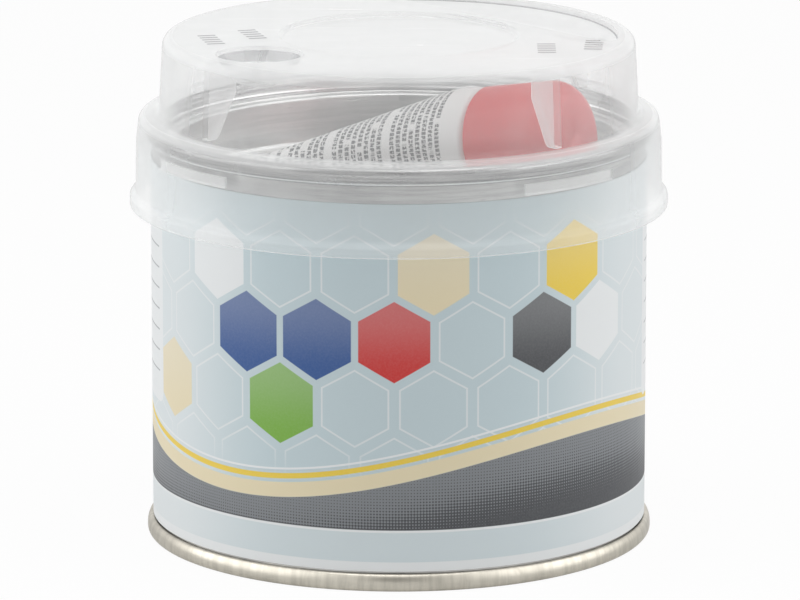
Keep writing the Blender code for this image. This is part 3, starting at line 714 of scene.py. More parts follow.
def print_coats(nodes, settings, across, up, paint):
    """Three coats of colour whose edges run in one wave round the label's foot."""
    swing = nodes.times(nodes.minus(across, WAVE_SHIFT), 2 * math.pi / WAVE_LENGTH)
    crest = nodes.times(nodes.math("SINE", swing), WAVE_RISE, WAVE_LEVEL)
    over = nodes.minus(up, crest)
    slants = (nodes.math("ADD", across, up), nodes.minus(across, up))
    dots = nodes.times(*(nodes.math("SINE", nodes.times(slant, SCREEN_TURN)) for slant in slants))
    depth = nodes.fade(over, -SCREEN_DEPTH, 0.0, -0.2, 1.05)
    screen = nodes.fade(nodes.math("ADD", dots, nodes.times(depth, 1.6, -0.9)), -0.25, 0.25)
    ground = nodes.mix(nodes.times(screen, 0.75), settings.dark, settings.grey)
    paint = nodes.mix(nodes.times(nodes.below(over), nodes.above(up, FOOT_LINE)), paint, ground)
    for low, high, tone in COATS:
        paint = nodes.mix(nodes.between(over, low, high), paint, getattr(settings, tone))
    return paint


def print_cells(nodes, settings, across, up, paint):
    """Faint outlines of a whole honeycomb with some of its cells filled."""
    comb = nodes.group(honeycomb(), Across=across, Up=up)
    outline = nodes.times(nodes.between(comb["Edge"], *CELL_LINE), nodes.between(up, *CELL_BAND))
    paint = nodes.mix(nodes.times(outline, 0.7), paint, settings.white)
    half = CELL_HALF_WIDTH
    for column, row, tone in CELLS:
        middle = CELL_ORIGIN[1] + CELL_PITCH * math.sqrt(0.75) * row
        sizes = {"Middle_Up": middle, "Half_Width": half}
        sizes["Middle_Across"] = CELL_ORIGIN[0] + CELL_PITCH * (column + 0.5 * (row % 2))
        cell = nodes.group(hex_tile(), Across=across, Up=up, **sizes)
        # Each filled cell pales towards its top: painted light from above.
        lit = nodes.fade(up, middle - half, middle + half, 0.0, 0.16)
        paint = nodes.mix(cell["Fill"], paint, nodes.mix(lit, getattr(settings, tone), settings.white))
    return paint


def print_note_panels(nodes, settings, across, up, paint):
    """Two blank write-on panels with ruled lines at the label's sides."""
    rule = nodes.away(nodes.math("FRACT", nodes.math("DIVIDE", up, NOTE_PITCH)), 0.5)
    ruled = nodes.times(nodes.fade(rule, 0.03, 0.05, 1.0, 0.0), 0.7)
    for middle in NOTE_PANELS:
        places = {"Across": across, "Up": up, "Middle_Across": middle}
        panel = nodes.group(round_panel(), **places, **NOTE_PANEL)
        inner = nodes.group(round_panel(), **places, **NOTE_RULES)
        paint = nodes.mix(panel["Fill"], paint, settings.white)
        paint = nodes.mix(nodes.times(inner["Fill"], ruled), paint, settings.grey)
    return paint


def label_material(settings):
    """Coated paper with a plain print of cells and coats."""
    material, nodes = new_material("printed_label")
    turned = nodes.turned()
    across, up = turned["Across"], turned["Up"]
    white = settings.white
    # The ground pales towards white from 24 to 56 mm round from the front: painted light from the side lamps.
    paint = nodes.mix(nodes.fade(nodes.math("ABSOLUTE", across), *GROUND_SIDE_LIGHT), settings.ground, white)
    for print_on in (print_cells, print_coats, print_note_panels):
        paint = print_on(nodes, settings, across, up, paint)
    # The strip under the foot line is mixed 35 percent towards white: painted light, standing for light
    # bounced up from the floor.
    paint = nodes.mix(nodes.times(nodes.below(up, FOOT_LINE), 0.35), paint, white)
    paint = nodes.mix(nodes.between(up, FOOT_LINE - FOOT_HALO, FOOT_LINE), paint, white)
    paint = nodes.mix(nodes.between(up, FOOT_LINE, FOOT_LINE + FOOT_LINE_WIDTH), paint, settings.dark)
    paint = nodes.mix(nodes.below(up, FOOT_MARGIN), paint, white)
    fibres = nodes.noise(nodes.object_place(), 2600.0)
    worn = nodes.times(nodes.fade(fibres, 0.35, 0.7), 0.025)
    nodes.dress(
        Base_Color=nodes.mix(worn, paint, white),
        Roughness=nodes.times(nodes.marks(30.0, 30.0)["Smudges"], 0.12, 0.42),
        Coat_Weight=0.12,
        Coat_Roughness=0.3,
        Normal=nodes.bump(fibres, 0.012 * MM, 0.5),
    )
    return material


# The clear film: how late it whitens towards an edge, its densest, and the share taken off its shadow
EDGE_POWER = 3.5
FULL_FILM = 0.96
SHADOW_CUT = 0.7


def plastic_material(name, settings, tone, veil, behind=1.0):
    """Thin clear plastic: a milky film that whitens towards its edges, with faint smudges and flow marks.

    behind is the share of the film that is left where a face is seen from its back.
    """
    material, nodes = new_material(name)
    marks = nodes.marks(36.0, 24.0)
    flow = nodes.noise(nodes.object_place(), 60.0, detail=1.0)
    haze = nodes.times(marks["Smudges"], 0.05, 0.16)
    edge_on = nodes.add("ShaderNodeLayerWeight", {"Blend": 0.5}).outputs["Facing"]
    film = nodes.times(nodes.math("POWER", edge_on, EDGE_POWER), settings.edge_veil, veil)
    film = nodes.math("MINIMUM", nodes.times(marks["Smudges"], 0.03, film), FULL_FILM)
    if behind < 1.0:
        back = nodes.add("ShaderNodeNewGeometry").outputs["Backfacing"]
        film = nodes.times(film, nodes.times(back, behind - 1.0, 1.0))
    lamp_ray = nodes.add("ShaderNodeLightPath").outputs["Is Shadow Ray"]
    nodes.dress(
        Base_Color=tone,
        Roughness=nodes.times(marks["Scratches"], 0.08, haze),
        Normal=nodes.bump(flow, 0.06 * MM, 0.25),
        Alpha=nodes.times(film, nodes.times(lamp_ray, -SHADOW_CUT, 1.0)),
    )
    return material


def tube_frame():
    """Matrix that lays a piece modelled along Z on the tube's axis, with its width kept level."""
    width = Vector((-TUBE_AXIS.y, TUBE_AXIS.x, 0.0)).normalized()
    down = width.cross(TUBE_AXIS)
    turn = Matrix((down, width, TUBE_AXIS)).transposed()
    return Matrix.Translation(TUBE_ORIGIN) @ turn.to_4x4()


def tube_place(nodes):
    """Object coordinates turned into the tube's own, in millimetres."""
    lie = tube_frame()
    inputs = {"Vector": nodes.object_place(), "Location": lie.translation, "Rotation": lie.to_euler()}
    inputs["Scale"] = (MM, MM, MM)
    return nodes.add("ShaderNodeMapping", inputs, vector_type="TEXTURE").outputs[0]


# The tube's rows of dashes, in millimetres: pitch, start, first and last row, rows to a block
DASH_ROW = 1.45
DASH_START = 5.0
DASH_ROWS = (-31.5, -0.5)
DASH_BLOCK = 9.0


def lacquer_material(settings):
    """White lacquered aluminium with rows of fine dashes and creases towards the tail."""
    material, nodes = new_material("white_lacquer")
    x, y, along = nodes.apart(tube_place(nodes))
    girth = nodes.times(nodes.math("ARCTAN2", y, x), settings.radius / MM)
    row = nodes.math("DIVIDE", nodes.math("ADD", along, DASH_START), DASH_ROW)
    line = nodes.math("FLOOR", row)
    groups = nodes.noise(nodes.vector(nodes.times(girth, 0.5), nodes.times(line, 7.3), 0.0), 1.0, 1.0)
    dashes = nodes.times(girth, 1.25, nodes.times(line, 0.37))
    breaks = nodes.noise(nodes.vector(nodes.times(girth, 2.3), nodes.times(along, 2.3), 4.0), 1.0, 1.0)
    masks = (
        nodes.fade(groups, 0.33, 0.37),
        nodes.between(nodes.math("FRACT", dashes), 0.1, 0.9, 0.08),
        nodes.fade(breaks, 0.35, 0.45),
        nodes.between(line, *DASH_ROWS, 0.1),
        nodes.fade(nodes.math("FRACT", nodes.math("DIVIDE", line, DASH_BLOCK)), 0.05, 0.1),
    )
    ink = nodes.between(nodes.math("FRACT", row), 0.16, 0.82, 0.07)
    for mask in masks:
        ink = nodes.times(ink, mask)
    crease = nodes.noise(nodes.scaled((x, y, along), (0.4, 0.5, 0.09)), 1.0)
    towards_tail = nodes.fade(along, -55.0, -12.0, 1.0, 0.15)
    nodes.dress(
        Base_Color=nodes.mix(nodes.times(ink, 0.95), settings.lacquer, settings.ink),
        Roughness=nodes.times(nodes.marks(60.0, 40.0)["Smudges"], 0.12, 0.34),
        Normal=nodes.bump(nodes.times(crease, towards_tail), 0.6 * MM, 0.5),
        Coat_Weight=0.15,
    )
    return material


def red_material(settings):
    """Red moulded plastic with a fine eroded texture."""
    material, nodes = new_material("red_plastic")
    smudges = nodes.marks(70.0, 50.0)["Smudges"]
    grain = nodes.noise(nodes.object_place(), 4200.0, detail=2.0)
    nodes.dress(
        Base_Color=nodes.mix(nodes.times(smudges, 0.12), settings.cap, settings.paste),
        Roughness=nodes.times(smudges, 0.1, 0.3),
        Normal=nodes.bump(grain, 0.02 * MM, 0.4),
    )
    return material


def paste_material(name, tone, roughness):
    """A soft paste or sealant with faint mottling."""
    material, nodes = new_material(name)
    mottle = nodes.noise(nodes.object_place(), 220.0, detail=5.0, roughness=0.6)
    dark = tuple(part * 0.72 for part in tone)
    nodes.dress(
        Base_Color=nodes.mix(nodes.fade(mottle, 0.35, 0.7), tone, dark),
        Roughness=nodes.fade(mottle, 0.3, 0.7, roughness, roughness + 0.15),
        Normal=nodes.bump(mottle, 0.3 * MM, 0.6),
    )
    return material


def floor_material(settings):
    """Pale floor that looks white to the camera and still shows the shadow."""
    seen_share, mirrored_share = 0.95, 0.35
    material, nodes = new_material("pale_floor")
    tree = material.node_tree
    tree.nodes.remove(tree.nodes["Principled BSDF"])
    diffuse = nodes.add("ShaderNodeBsdfDiffuse", {"Color": settings.floor})
    glow = nodes.add("ShaderNodeEmission", {"Color": (1.0, 1.0, 1.0), "Strength": 1.0})
    path = nodes.add("ShaderNodeLightPath").outputs
    seen = nodes.math("MAXIMUM", path["Is Camera Ray"], path["Is Transmission Ray"])
    mirrored = nodes.times(path["Is Glossy Ray"], mirrored_share)
    lift = nodes.math("MAXIMUM", nodes.times(seen, seen_share), mirrored)
    both = nodes.add("ShaderNodeMixShader", {0: lift, 1: diffuse.outputs[0], 2: glow.outputs[0]})
    tree.links.new(both.outputs[0], tree.nodes["Material Output"].inputs["Surface"])
    return material


def flag_material():
    """Dark felt."""
    material, nodes = new_material("dark_felt")
    nap = nodes.noise(nodes.object_place(), 40.0)
    nodes.dress(Base_Color=nodes.mix(nap, (0.02, 0.02, 0.02), (0.05, 0.05, 0.05)), Roughness=1.0)
    return material


class SeamSizes:
    """Radii of a double seam's layers from the outside in, its depths under the rim, and the mouth."""

    layers = ("seam", "body_hook", "cover_hook", "wall", "chuck")

    def __init__(self, tin):
        for place, layer in enumerate(self.layers):
            outer = SEAM_RADIUS - place * (tin.plate + tin.seam_play)
            setattr(self, f"{layer}_outer", outer)
            setattr(self, f"{layer}_inner", outer - tin.plate)
        self.flange_depth = tin.flange_depth
        self.cover_hook_depth = tin.flange_depth + tin.plate + tin.seam_play
        self.body_hook_depth = tin.seam_height - 3 * tin.plate
        self.ring_foot = self.chuck_inner - tin.chuck_lean
        self.mouth = self.ring_foot - tin.ledge_width


def seam_chain(tin, sizes):
    """The end piece's folds of a double seam as (radius, depth under the rim), outside then inside."""
    edge = tin.seam_round
    crown = (sizes.seam_outer - edge, tin.seam_height - tin.seam_crown)
    chain = arc((sizes.chuck_inner + edge, edge), edge, 180, 270, 7)
    chain += arc((sizes.seam_outer - edge, edge), edge, 270, 360, 7)
    chain += oval(crown, edge, tin.seam_crown, 0, 90, 12)
    chain += [
        (sizes.cover_hook_inner, tin.seam_height),
        (sizes.cover_hook_inner, sizes.cover_hook_depth),
        (sizes.cover_hook_outer, sizes.cover_hook_depth),
        (sizes.cover_hook_outer, tin.seam_height - tin.plate),
    ]
    chain += oval(crown, edge - tin.plate, tin.seam_crown - tin.plate, 80, 0, 8)
    return chain + [
        (sizes.seam_inner, edge),
        (sizes.seam_inner - edge + tin.plate, tin.plate),
        (sizes.chuck_outer + edge - tin.plate, tin.plate),
        (sizes.chuck_outer, edge),
    ]


def at_head(points):
    """Depths under the top rim turned into heights."""
    return [(radius, CAN_HEIGHT - depth) for radius, depth in points]


class TUB_OT_can_wall(bpy.types.Operator):
    """Add the tin's wall with its hooked flanges"""

    bl_idname = "tub.can_wall"
    bl_label = "Can Wall"

    def execute(self, context):
        tin = context.scene.tub_tin
        sizes = SeamSizes(tin)
        flange = [
            (sizes.wall_inner, sizes.flange_depth),
            (sizes.body_hook_outer, sizes.flange_depth),
            (sizes.body_hook_outer, sizes.body_hook_depth),
            (sizes.body_hook_inner, sizes.body_hook_depth),
            (sizes.body_hook_inner, sizes.flange_depth + tin.plate),
            (sizes.wall_outer, sizes.flange_depth + tin.plate),
        ]
        wall = spun_piece("can_wall", at_head(flange) + flange[::-1], tin.steps)
        drawn = {"roughness": 0.24, "grain": 0.35, "around": 0.05, "along": 1.3, "streaks": 0.4}
        plate = tin_material("wall_tinplate", tin.inner_tin, tin.inner_shade, **drawn)
        finish_piece(wall, plate, "can", ["can_body"])
        return {"FINISHED"}


class TUB_OT_bottom_end(bpy.types.Operator):
    """Add the bottom end with its seam, recess and pressed beads"""

    bl_idname = "tub.bottom_end"
    bl_label = "Bottom End"

    step_radius = 37.0 * MM
    step = 0.7 * MM
    bead_radius = 24.0 * MM
    bead_half_widths = (1.2 * MM, 0.6 * MM)
    bead_rise = 0.35 * MM

    def panel(self, tin, lift):
        """Half section of the panel from the axis outwards: a flat bead, then a step up."""
        level = tin.bottom_recess - self.step + lift
        foot, crown = self.bead_half_widths
        bead = [(-foot, level), (-crown, level + self.bead_rise)]
        bead += [(crown, level + self.bead_rise), (foot, level)]
        points = [(0.0, level)] + [(self.bead_radius + out, z) for out, z in bead]
        start = (self.step_radius - self.step, level)
        return points + eased_run(start, (self.step_radius, level + self.step), 4)

    def execute(self, context):
        tin = context.scene.tub_tin
        sizes = SeamSizes(tin)
        fold = tin.fold_round
        corner = (sizes.chuck_inner - fold, tin.bottom_recess - fold)
        under = self.panel(tin, 0.0) + arc(corner, fold, 90, 0, 6)
        above = self.panel(tin, tin.plate) + arc(corner, fold + tin.plate, 90, 0, 6)
        bottom = spun_piece("bottom_end_pressing", under + seam_chain(tin, sizes) + above[::-1], tin.steps)
        drawn = {"roughness": 0.27, "grain": 0.3, "around": 0.7, "along": 0.12, "streaks": 0.4}
        plate = tin_material("seam_tinplate", tin.tin, tin.shade, **drawn)
        finish_piece(bottom, plate, "can", ["bottom_end"])
        return {"FINISHED"}


class TUB_OT_mouth_ring(bpy.types.Operator):
    """Add the mouth ring with its seam, ledge and socket"""

    bl_idname = "tub.mouth_ring"
    bl_label = "Mouth Ring"

    # Height of the painted highlight line above the seam's foot, in millimetres
    polish_lift = 0.45

    def execute(self, context):
        tin = context.scene.tub_tin
        sizes = SeamSizes(tin)
        ledge = CAN_HEIGHT - tin.ring_depth
        fold = tin.fold_round
        heel = (sizes.ring_foot - fold, ledge + fold)
        lip = (sizes.mouth + tin.plate, ledge - tin.plate)
        top = [(sizes.mouth, SOCKET_FOOT)] + arc(lip, tin.plate, 180, 90, 4)
        top += arc(heel, fold, 270, 360, 6)
        under = [(sizes.ring_foot + tin.plate, ledge + fold - tin.plate)]
        under += arc(heel, fold + tin.plate, 350, 270, 6)
        under += [lip, (lip[0], SOCKET_FOOT)]
        ring = spun_piece("mouth_ring_pressing", top + at_head(seam_chain(tin, sizes)) + under, tin.steps)
        drawn = {"roughness": 0.18, "grain": 1.0, "around": 0.03, "along": 1.7, "streaks": 0.9}
        # Painted highlight line just above the seam's rounded foot, standing for light caught there
        drawn["polished"] = (CAN_HEIGHT - tin.seam_height) / MM + self.polish_lift
        plate = tin_material("ring_tinplate", tin.inner_tin, tin.inner_shade, **drawn)
        finish_piece(ring, plate, "can", ["mouth_ring"])
        return {"FINISHED"}


class TUB_OT_lever_lid(bpy.types.Operator):
    """Add the press-in lid: a deep dish with a curled rim and a ring bead in its floor"""

    bl_idname = "tub.lever_lid"
    bl_label = "Lever Lid"

    curl = 0.35 * MM
    bead_radius = 33.0 * MM
    bead_half_width = 1.6 * MM
    bead_depth = 0.35 * MM

    def floor_bead(self, level):
        """Half section of the shallow ring bead that stiffens the floor."""
        waves = [(2 * i / 6 - 1, math.sin(math.pi * i / 6) ** 2) for i in range(7)]
        return [
            (self.bead_radius + self.bead_half_width * out, level - self.bead_depth * sunk)
            for out, sunk in waves
        ]

    def execute(self, context):
        tin = context.scene.tub_tin
        outer = SeamSizes(tin).mouth - tin.lid_play
        inner = outer - tin.plate
        floor = LID_UNDER + tin.plate
        rim_top = LID_TOP - self.curl
        rim_under = rim_top - tin.plate
        bend = 2 * tin.plate
        corner = (inner - tin.lid_corner, floor + tin.lid_corner)
        inside = [(0.0, floor)] + self.floor_bead(floor) + arc(corner, tin.lid_corner, 270, 360, 8)
        inside += arc((inner + bend, rim_top - bend), bend, 180, 90, 5)
        inside += arc((LID_RIM - 1.5 * self.curl, rim_top), self.curl, 180, 0, 8)
        outside = [(LID_RIM, rim_top), (LID_RIM, rim_under), (outer + tin.plate, rim_under)]
        outside += [(outer, rim_under - tin.plate)]
        outside += arc(corner, tin.lid_corner + tin.plate, 360, 270, 8)
        outside += self.floor_bead(LID_UNDER)[::-1] + [(0.0, LID_UNDER)]
        lid = spun_piece("lid_pressing", inside + outside, tin.steps)
        drawn = {"roughness": 0.24, "grain": 0.8, "around": 0.02, "along": 0.5, "streaks": 0.4}
        plate = tin_material("lid_tinplate", tin.lid_tin, tin.lid_shade, **drawn)
        finish_piece(lid, plate, "lever_lid", ["lever_lid"])
        return {"FINISHED"}


class TUB_OT_label(bpy.types.Operator):
    """Add the printed wrap with its glued overlap at the back"""

    bl_idname = "tub.label"
    bl_label = "Label"

    overlap_lift = 0.1 * MM

    def execute(self, context):
        label = context.scene.tub_label
        inner = LABEL_RADIUS - label.paper
        edge = label.paper / 3
        outline = [
            (inner, LABEL_LOW),
            (LABEL_RADIUS - edge, LABEL_LOW),
            (LABEL_RADIUS, LABEL_LOW + edge),
            (LABEL_RADIUS, LABEL_HIGH - edge),
            (LABEL_RADIUS - edge, LABEL_HIGH),
            (inner, LABEL_HIGH),
        ]
        wrap = spun_piece("label_wrap", outline, 2 * context.scene.tub_tin.steps)
        self.lift_overlap(wrap, label)
        finish_piece(wrap, label_material(label), "can", ["wrap_label"])
        return {"FINISHED"}

    def lift_overlap(self, wrap, label):
        """Raise a strip of the outer face at the back by one more layer of paper."""
        for face in wrap.data.polygons:
            behind = face.center.y > 0.0 and abs(face.center.x) < label.overlap / 2
            outward = face.normal.y > 0.9 and face.center.y > LABEL_RADIUS - label.paper / 2
            face.select = behind and outward
        for part in (*wrap.data.vertices, *wrap.data.edges):
            part.select = False
        bpy.ops.object.mode_set(mode="EDIT")
        bpy.ops.mesh.select_mode(type="FACE")
        lift = {"value": self.overlap_lift}
        bpy.ops.mesh.extrude_region_shrink_fatten(TRANSFORM_OT_shrink_fatten=lift)
        bpy.ops.mesh.select_mode(type="VERT")
        bpy.ops.object.mode_set(mode="OBJECT")


class TUB_OT_putty(bpy.types.Operator):
    """Add the filler in the tin, with the swirl that the filling nozzle leaves"""

    bl_idname = "tub.putty"
    bl_label = "Filler Putty"

    steps = 96
    swirl_height = 0.5 * MM
    swirls = 7
    rings = 36
    foot_radii = (36.0 * MM, 35.0 * MM)
    foot_step = 0.7 * MM

    def execute(self, context):
        tin = context.scene.tub_tin
        shares = [i / self.rings for i in range(self.rings + 1)]
        waves = [(1 + math.cos(2 * math.pi * self.swirls * share)) / 2 for share in shares]
        outline = [(PUTTY_RADIUS * s, PUTTY_TOP - self.swirl_height * w) for s, w in zip(shares, waves)]
        step = PUTTY_LOW + tin.plate + self.foot_step
        outline += [(PUTTY_RADIUS, step), (self.foot_radii[0], step)]
        outline += [(self.foot_radii[1], PUTTY_LOW), (0.0, PUTTY_LOW)]
        fill = spun_piece("putty_fill", outline, self.steps)
        ochre = paste_material("ochre_putty", tin.putty, 0.5)
        finish_piece(fill, ochre, "can", ["filler_putty"])
        return {"FINISHED"}


class TUB_OT_hidden_pieces(bpy.types.Operator):
    """Give the enclosed CAD pieces their finishes"""

    bl_idname = "tub.hidden_pieces"
    bl_label = "Hidden Pieces"

    def execute(self, context):
        scene = context.scene
        sealant = paste_material("lining_compound", scene.tub_tin.compound, 0.6)
        hardener = paste_material("hardener", scene.tub_tube.paste, 0.4)
        finishes = {
            "ring_seam_compound": sealant,
            "bottom_seam_compound": sealant,
            "hardener_paste": hardener,
        }
        for node, material in finishes.items():
            slots = frame["nodes"][node].data.materials
            slots.clear()
            slots.append(material)
        return {"FINISHED"}


class CapSizes:
    """Radii and heights of the mixing cap, from the seam that it sits on."""

    skirt_spread = 0.6 * MM
    straight_height = 5.0 * MM
    lip_height = 1.8 * MM
    slope_height = 1.6 * MM

    def __init__(self, cap):
        self.wall = cap.wall
        self.ledge_under = CAN_HEIGHT + cap.seat
        self.ledge_top = self.ledge_under + cap.wall
        self.dome = SEAM_RADIUS - cap.dome_inset
        self.dome_top = self.dome - cap.dome_draft
        self.flat = self.dome_top - cap.top_round
        self.round_z = CAP_TOP - cap.top_round
        self.skirt_top = SEAM_RADIUS + cap.fit + cap.wall
        self.skirt_low = self.skirt_top + self.skirt_spread
        self.spread_z = self.ledge_top - self.straight_height
        self.lip_top = CAP_FOOT + self.lip_height
        self.slope_top = self.lip_top + self.slope_height

    def dome_inner(self, z):
        """Inside radius of the dome's leaning wall at a height."""
        lean = (z - self.ledge_under) / (self.round_z - self.ledge_under)
        return self.dome - self.wall - (self.dome - self.dome_top) * lean


# Slots of the cap's finishes. The third is grey: the ticks' own tone, and painted shade on the bowl's wall
# and along the recess's floor edges
CLEAR, MILKY, TICK_AND_SHADE, SOFT, WHITE = range(5)


def is_slanted(amount):
    """True for the share of a normal that a bevelled edge's narrow face has."""
    return 0.1 < abs(amount) < 0.95


class TUB_OT_mixing_cap(bpy.types.Operator):
    """Add the clear mixing cap: dome, skirt, fins, lugs, dosing bowl and filler recess in one moulding"""

    bl_idname = "tub.mixing_cap"
    bl_label = "Mixing Cap"

    sharp_edge = 32
    lip_round = 0.3 * MM
    lip_foot = 0.35 * MM
    skirt_bow = 0.15 * MM
    disc_margin = 2.0 * MM
    disc_step = 0.9 * MM
    bowl_radius = 8.6 * MM
    bowl_depth = 5.5 * MM
    bowl_edge = 1.74 * MM
    bowl_shade = (0.8 * MM, 2.6 * MM)
    # Share of the painted shade that is left where the bowl's wall is seen from behind
    shade_behind = 0.5
    recess_margin = 1.5 * MM
    recess_edge = 1.4 * MM
    recess_depth = 1.2 * MM
    recess_corner = 2.0 * MM
    fin_thickness = 1.9 * MM
    fin_depth = 6.3 * MM
    fin_knee = 7.0 * MM
    fin_tip_depth = 2.8 * MM
    fin_tip_lift = 0.7 * MM
    fin_tip_round = 0.6 * MM
    lug_play = 0.15 * MM
    lug_drop = 0.5 * MM
    lug_height = 2.4 * MM
    lug_inset = 0.1 * MM
    lug_sweep = math.radians(26)
    lug_steps = 24
    edge_round = 0.25 * MM
    clearance = 1.0 * MM
    tick_size = (3.6 * MM, 0.8 * MM, 0.2 * MM)
    tick_pitch = 2.2 * MM
    ticks = 5
    tick_middles = (
        (-37.1 * MM, -6.2 * MM, math.radians(14)),
        (-29.1 * MM, -0.5 * MM, math.radians(16)),
        (29.0 * MM, -15.1 * MM, 0.0),
        (38.4 * MM, -11.6 * MM, math.radians(-4)),
    )

    def execute(self, context):
        cap = context.scene.tub_cap
        sizes = CapSizes(cap)
        self.bowl_place = sizes.flat - self.bowl_edge - self.bowl_radius
        self.disc_radius = self.bowl_place - self.bowl_radius - self.disc_margin
        finishes = (
            plastic_material("clear_plastic", cap, cap.plastic, cap.veil),
            plastic_material("thick_clear_plastic", cap, cap.plastic, cap.rib_veil),
            # Grey film for the ticks, and painted shade on the bowl's wall and the recess's edges
            plastic_material("tick_and_shade_plastic", cap, cap.engraved, cap.engraved_veil, self.shade_behind),
            plastic_material("corner_plastic", cap, cap.plastic, cap.corner_veil),
            plastic_material("rim_plastic", cap, cap.plastic, cap.rim_veil),
        )
        moulding = spun_piece("mixing_cap_moulding", self.outline(cap, sizes), cap.steps)
        give_materials(
            moulding, finishes, CLEAR, SOFT, lambda face: self.thick_corner(cap, sizes, face.center)
        )
        for azimuth in [cap.turn + side * cap.spread + turn for turn in (0, math.pi) for side in (-1, 1)]:
            ahead = heading(azimuth)
            aside = beside(ahead)
            fin = self.fin(sizes, ahead)
            give_materials(fin, finishes, SOFT, WHITE, lambda face: is_slanted(face.normal.dot(aside)))
            lug = self.lug(context.scene.tub_tin, sizes, azimuth)
            give_materials(lug, finishes, WHITE, MILKY, lambda face: abs(face.normal.dot(ahead)) > 0.9)
            combine(moulding, fin, "UNION")
            combine(moulding, lug, "UNION")
        combine(moulding, self.bowl(cap, sizes, cap.wall), "UNION")
        combine(moulding, self.recess(cap, sizes, cap.wall), "UNION")
        # A band of the bowl's wall just under its rim gets the grey: painted shade and reflection of the dark
        # wall seen through the top
        bowl = self.bowl(cap, sizes, 0.0)
        high, low = self.bowl_shade
        give_materials(bowl, finishes, CLEAR, TICK_AND_SHADE, lambda face: high < CAP_TOP - face.center.z < low)
        # The recess's bevelled floor edges get the grey: painted shade lines along its inner corners
        recess = self.recess(cap, sizes, 0.0)
        give_materials(recess, finishes, SOFT, TICK_AND_SHADE, lambda face: is_slanted(face.normal.z))
        ticks = self.tick_groups()
        for group in ticks:
            give_materials(group, finishes, TICK_AND_SHADE)
        for hollow in (bowl, recess, *ticks):
            combine(moulding, hollow, "DIFFERENCE")
        finish_piece(
            moulding, finishes[CLEAR], "mixing_cap", ["mixing_cap"], sharp=self.sharp_edge
        )
        return {"FINISHED"}

    def thick_corner(self, cap, sizes, place):
        """True for a place on the top's rounded edge, on the shoulder or at the lip's foot."""
        out = math.hypot(place.x, place.y)
        top = out > sizes.flat and place.z > sizes.round_z
        round_start = sizes.ledge_top - cap.shoulder_round
        shoulder = out > sizes.skirt_top - cap.shoulder_round and round_start < place.z < sizes.ledge_top
        return top or shoulder or place.z < CAP_FOOT + self.lip_foot

    def outline(self, cap, sizes):
        """Half section of the cap, the outside from the axis to the lip and the inside back."""
        wall = cap.wall
        sunk = CAP_TOP - cap.disc_sink
        shoulder = (sizes.skirt_top - cap.shoulder_round, sizes.ledge_top - cap.shoulder_round)
        foot = (sizes.dome + cap.foot_round, sizes.ledge_top + cap.foot_round)
        top = (sizes.flat, sizes.round_z)
        spread = sizes.skirt_low - self.skirt_bow
        edge = self.lip_round
        skirt = (sizes.skirt_low, sizes.slope_top)
        outside = [(0.0, sunk)] + self.disc_edge(cap, self.disc_radius, CAP_TOP)
        outside += [(sizes.flat - self.edge_round, CAP_TOP)] + arc(top, cap.top_round, 90, 0, 12)
        outside += arc(foot, cap.foot_round, 180, 270, 7) + arc(shoulder, cap.shoulder_round, 90, 0, 9)
        outside += [(spread, sizes.spread_z)]
        outside += eased_run(skirt, (LIP_RADIUS, sizes.lip_top), 6, upright=True)
        outside += arc((LIP_RADIUS - edge, CAP_FOOT + edge), edge, 0, -90, 4)
        lip = (LIP_RADIUS - wall, sizes.lip_top - wall / 2)
        inner_skirt = (sizes.skirt_low - wall, sizes.slope_top)
        inside = [(lip[0], CAP_FOOT)]
        inside += eased_run(lip, (inner_skirt[0], sizes.slope_top - wall / 2), 6, upright=True)[1:]
        inside += [inner_skirt, (spread - wall, sizes.spread_z)]
        inside += arc(shoulder, cap.shoulder_round - wall, 0, 90, 6)
        inside += arc((sizes.dome - wall + edge, sizes.ledge_under + edge), edge, 270, 180, 4)
        inside += arc(top, cap.top_round - wall, 0, 90, 10)
        inside += self.disc_edge(cap, self.disc_radius + wall / 2, CAP_TOP - wall)[::-1]
        return outside + inside + [(0.0, sunk - wall)]

    def disc_edge(self, cap, outer, level):
        """S-shaped step from the sunk disc up to a level at a radius, with a line beside each end."""
        inner = outer - self.disc_step
        low = level - cap.disc_sink
        step = eased_run((inner, low), (outer, level), 6)
        return [(inner - self.edge_round, low)] + step + [(outer + self.edge_round, level)]

    def fin(self, sizes, ahead):
        """Upright fin on the inside of the dome, with a knee and a narrow tip."""
        buried = sizes.wall / 2
        tip_z = sizes.ledge_under + self.fin_tip_lift
        tip_wall = sizes.dome_inner(tip_z)
        top_wall = sizes.dome_inner(sizes.round_z)
        tip = tip_wall - self.fin_tip_depth
        side = [
            (top_wall - self.fin_depth, CAP_TOP - buried),
            (top_wall - self.fin_depth, CAP_TOP - self.fin_knee),
            (tip, tip_z + self.fin_tip_round),
            (tip + self.fin_tip_round, tip_z),
            (tip_wall + buried, tip_z),
            (top_wall + buried, sizes.round_z),
            (sizes.flat, CAP_TOP - buried),
        ]
        across = beside(ahead) * self.fin_thickness
        points = [ahead * radius + Vector((0, 0, z)) - across / 2 for radius, z in side]
        return slab_piece("fin", points, across, self.edge_round)

    def lug(self, tin, sizes, azimuth):
        """Lug on the inside of the skirt that holds the cap under the seam."""
        high = CAN_HEIGHT - tin.seam_height - self.lug_drop
        low = high - self.lug_height
        inner = SEAM_RADIUS + self.lug_play
        outer = sizes.skirt_low - self.lug_inset - sizes.wall / 2
        section = [(inner, low + self.lug_drop), (inner, high), (outer, high), (outer, low)]
        return swept_piece("lug", section, self.lug_steps, azimuth, self.lug_sweep)

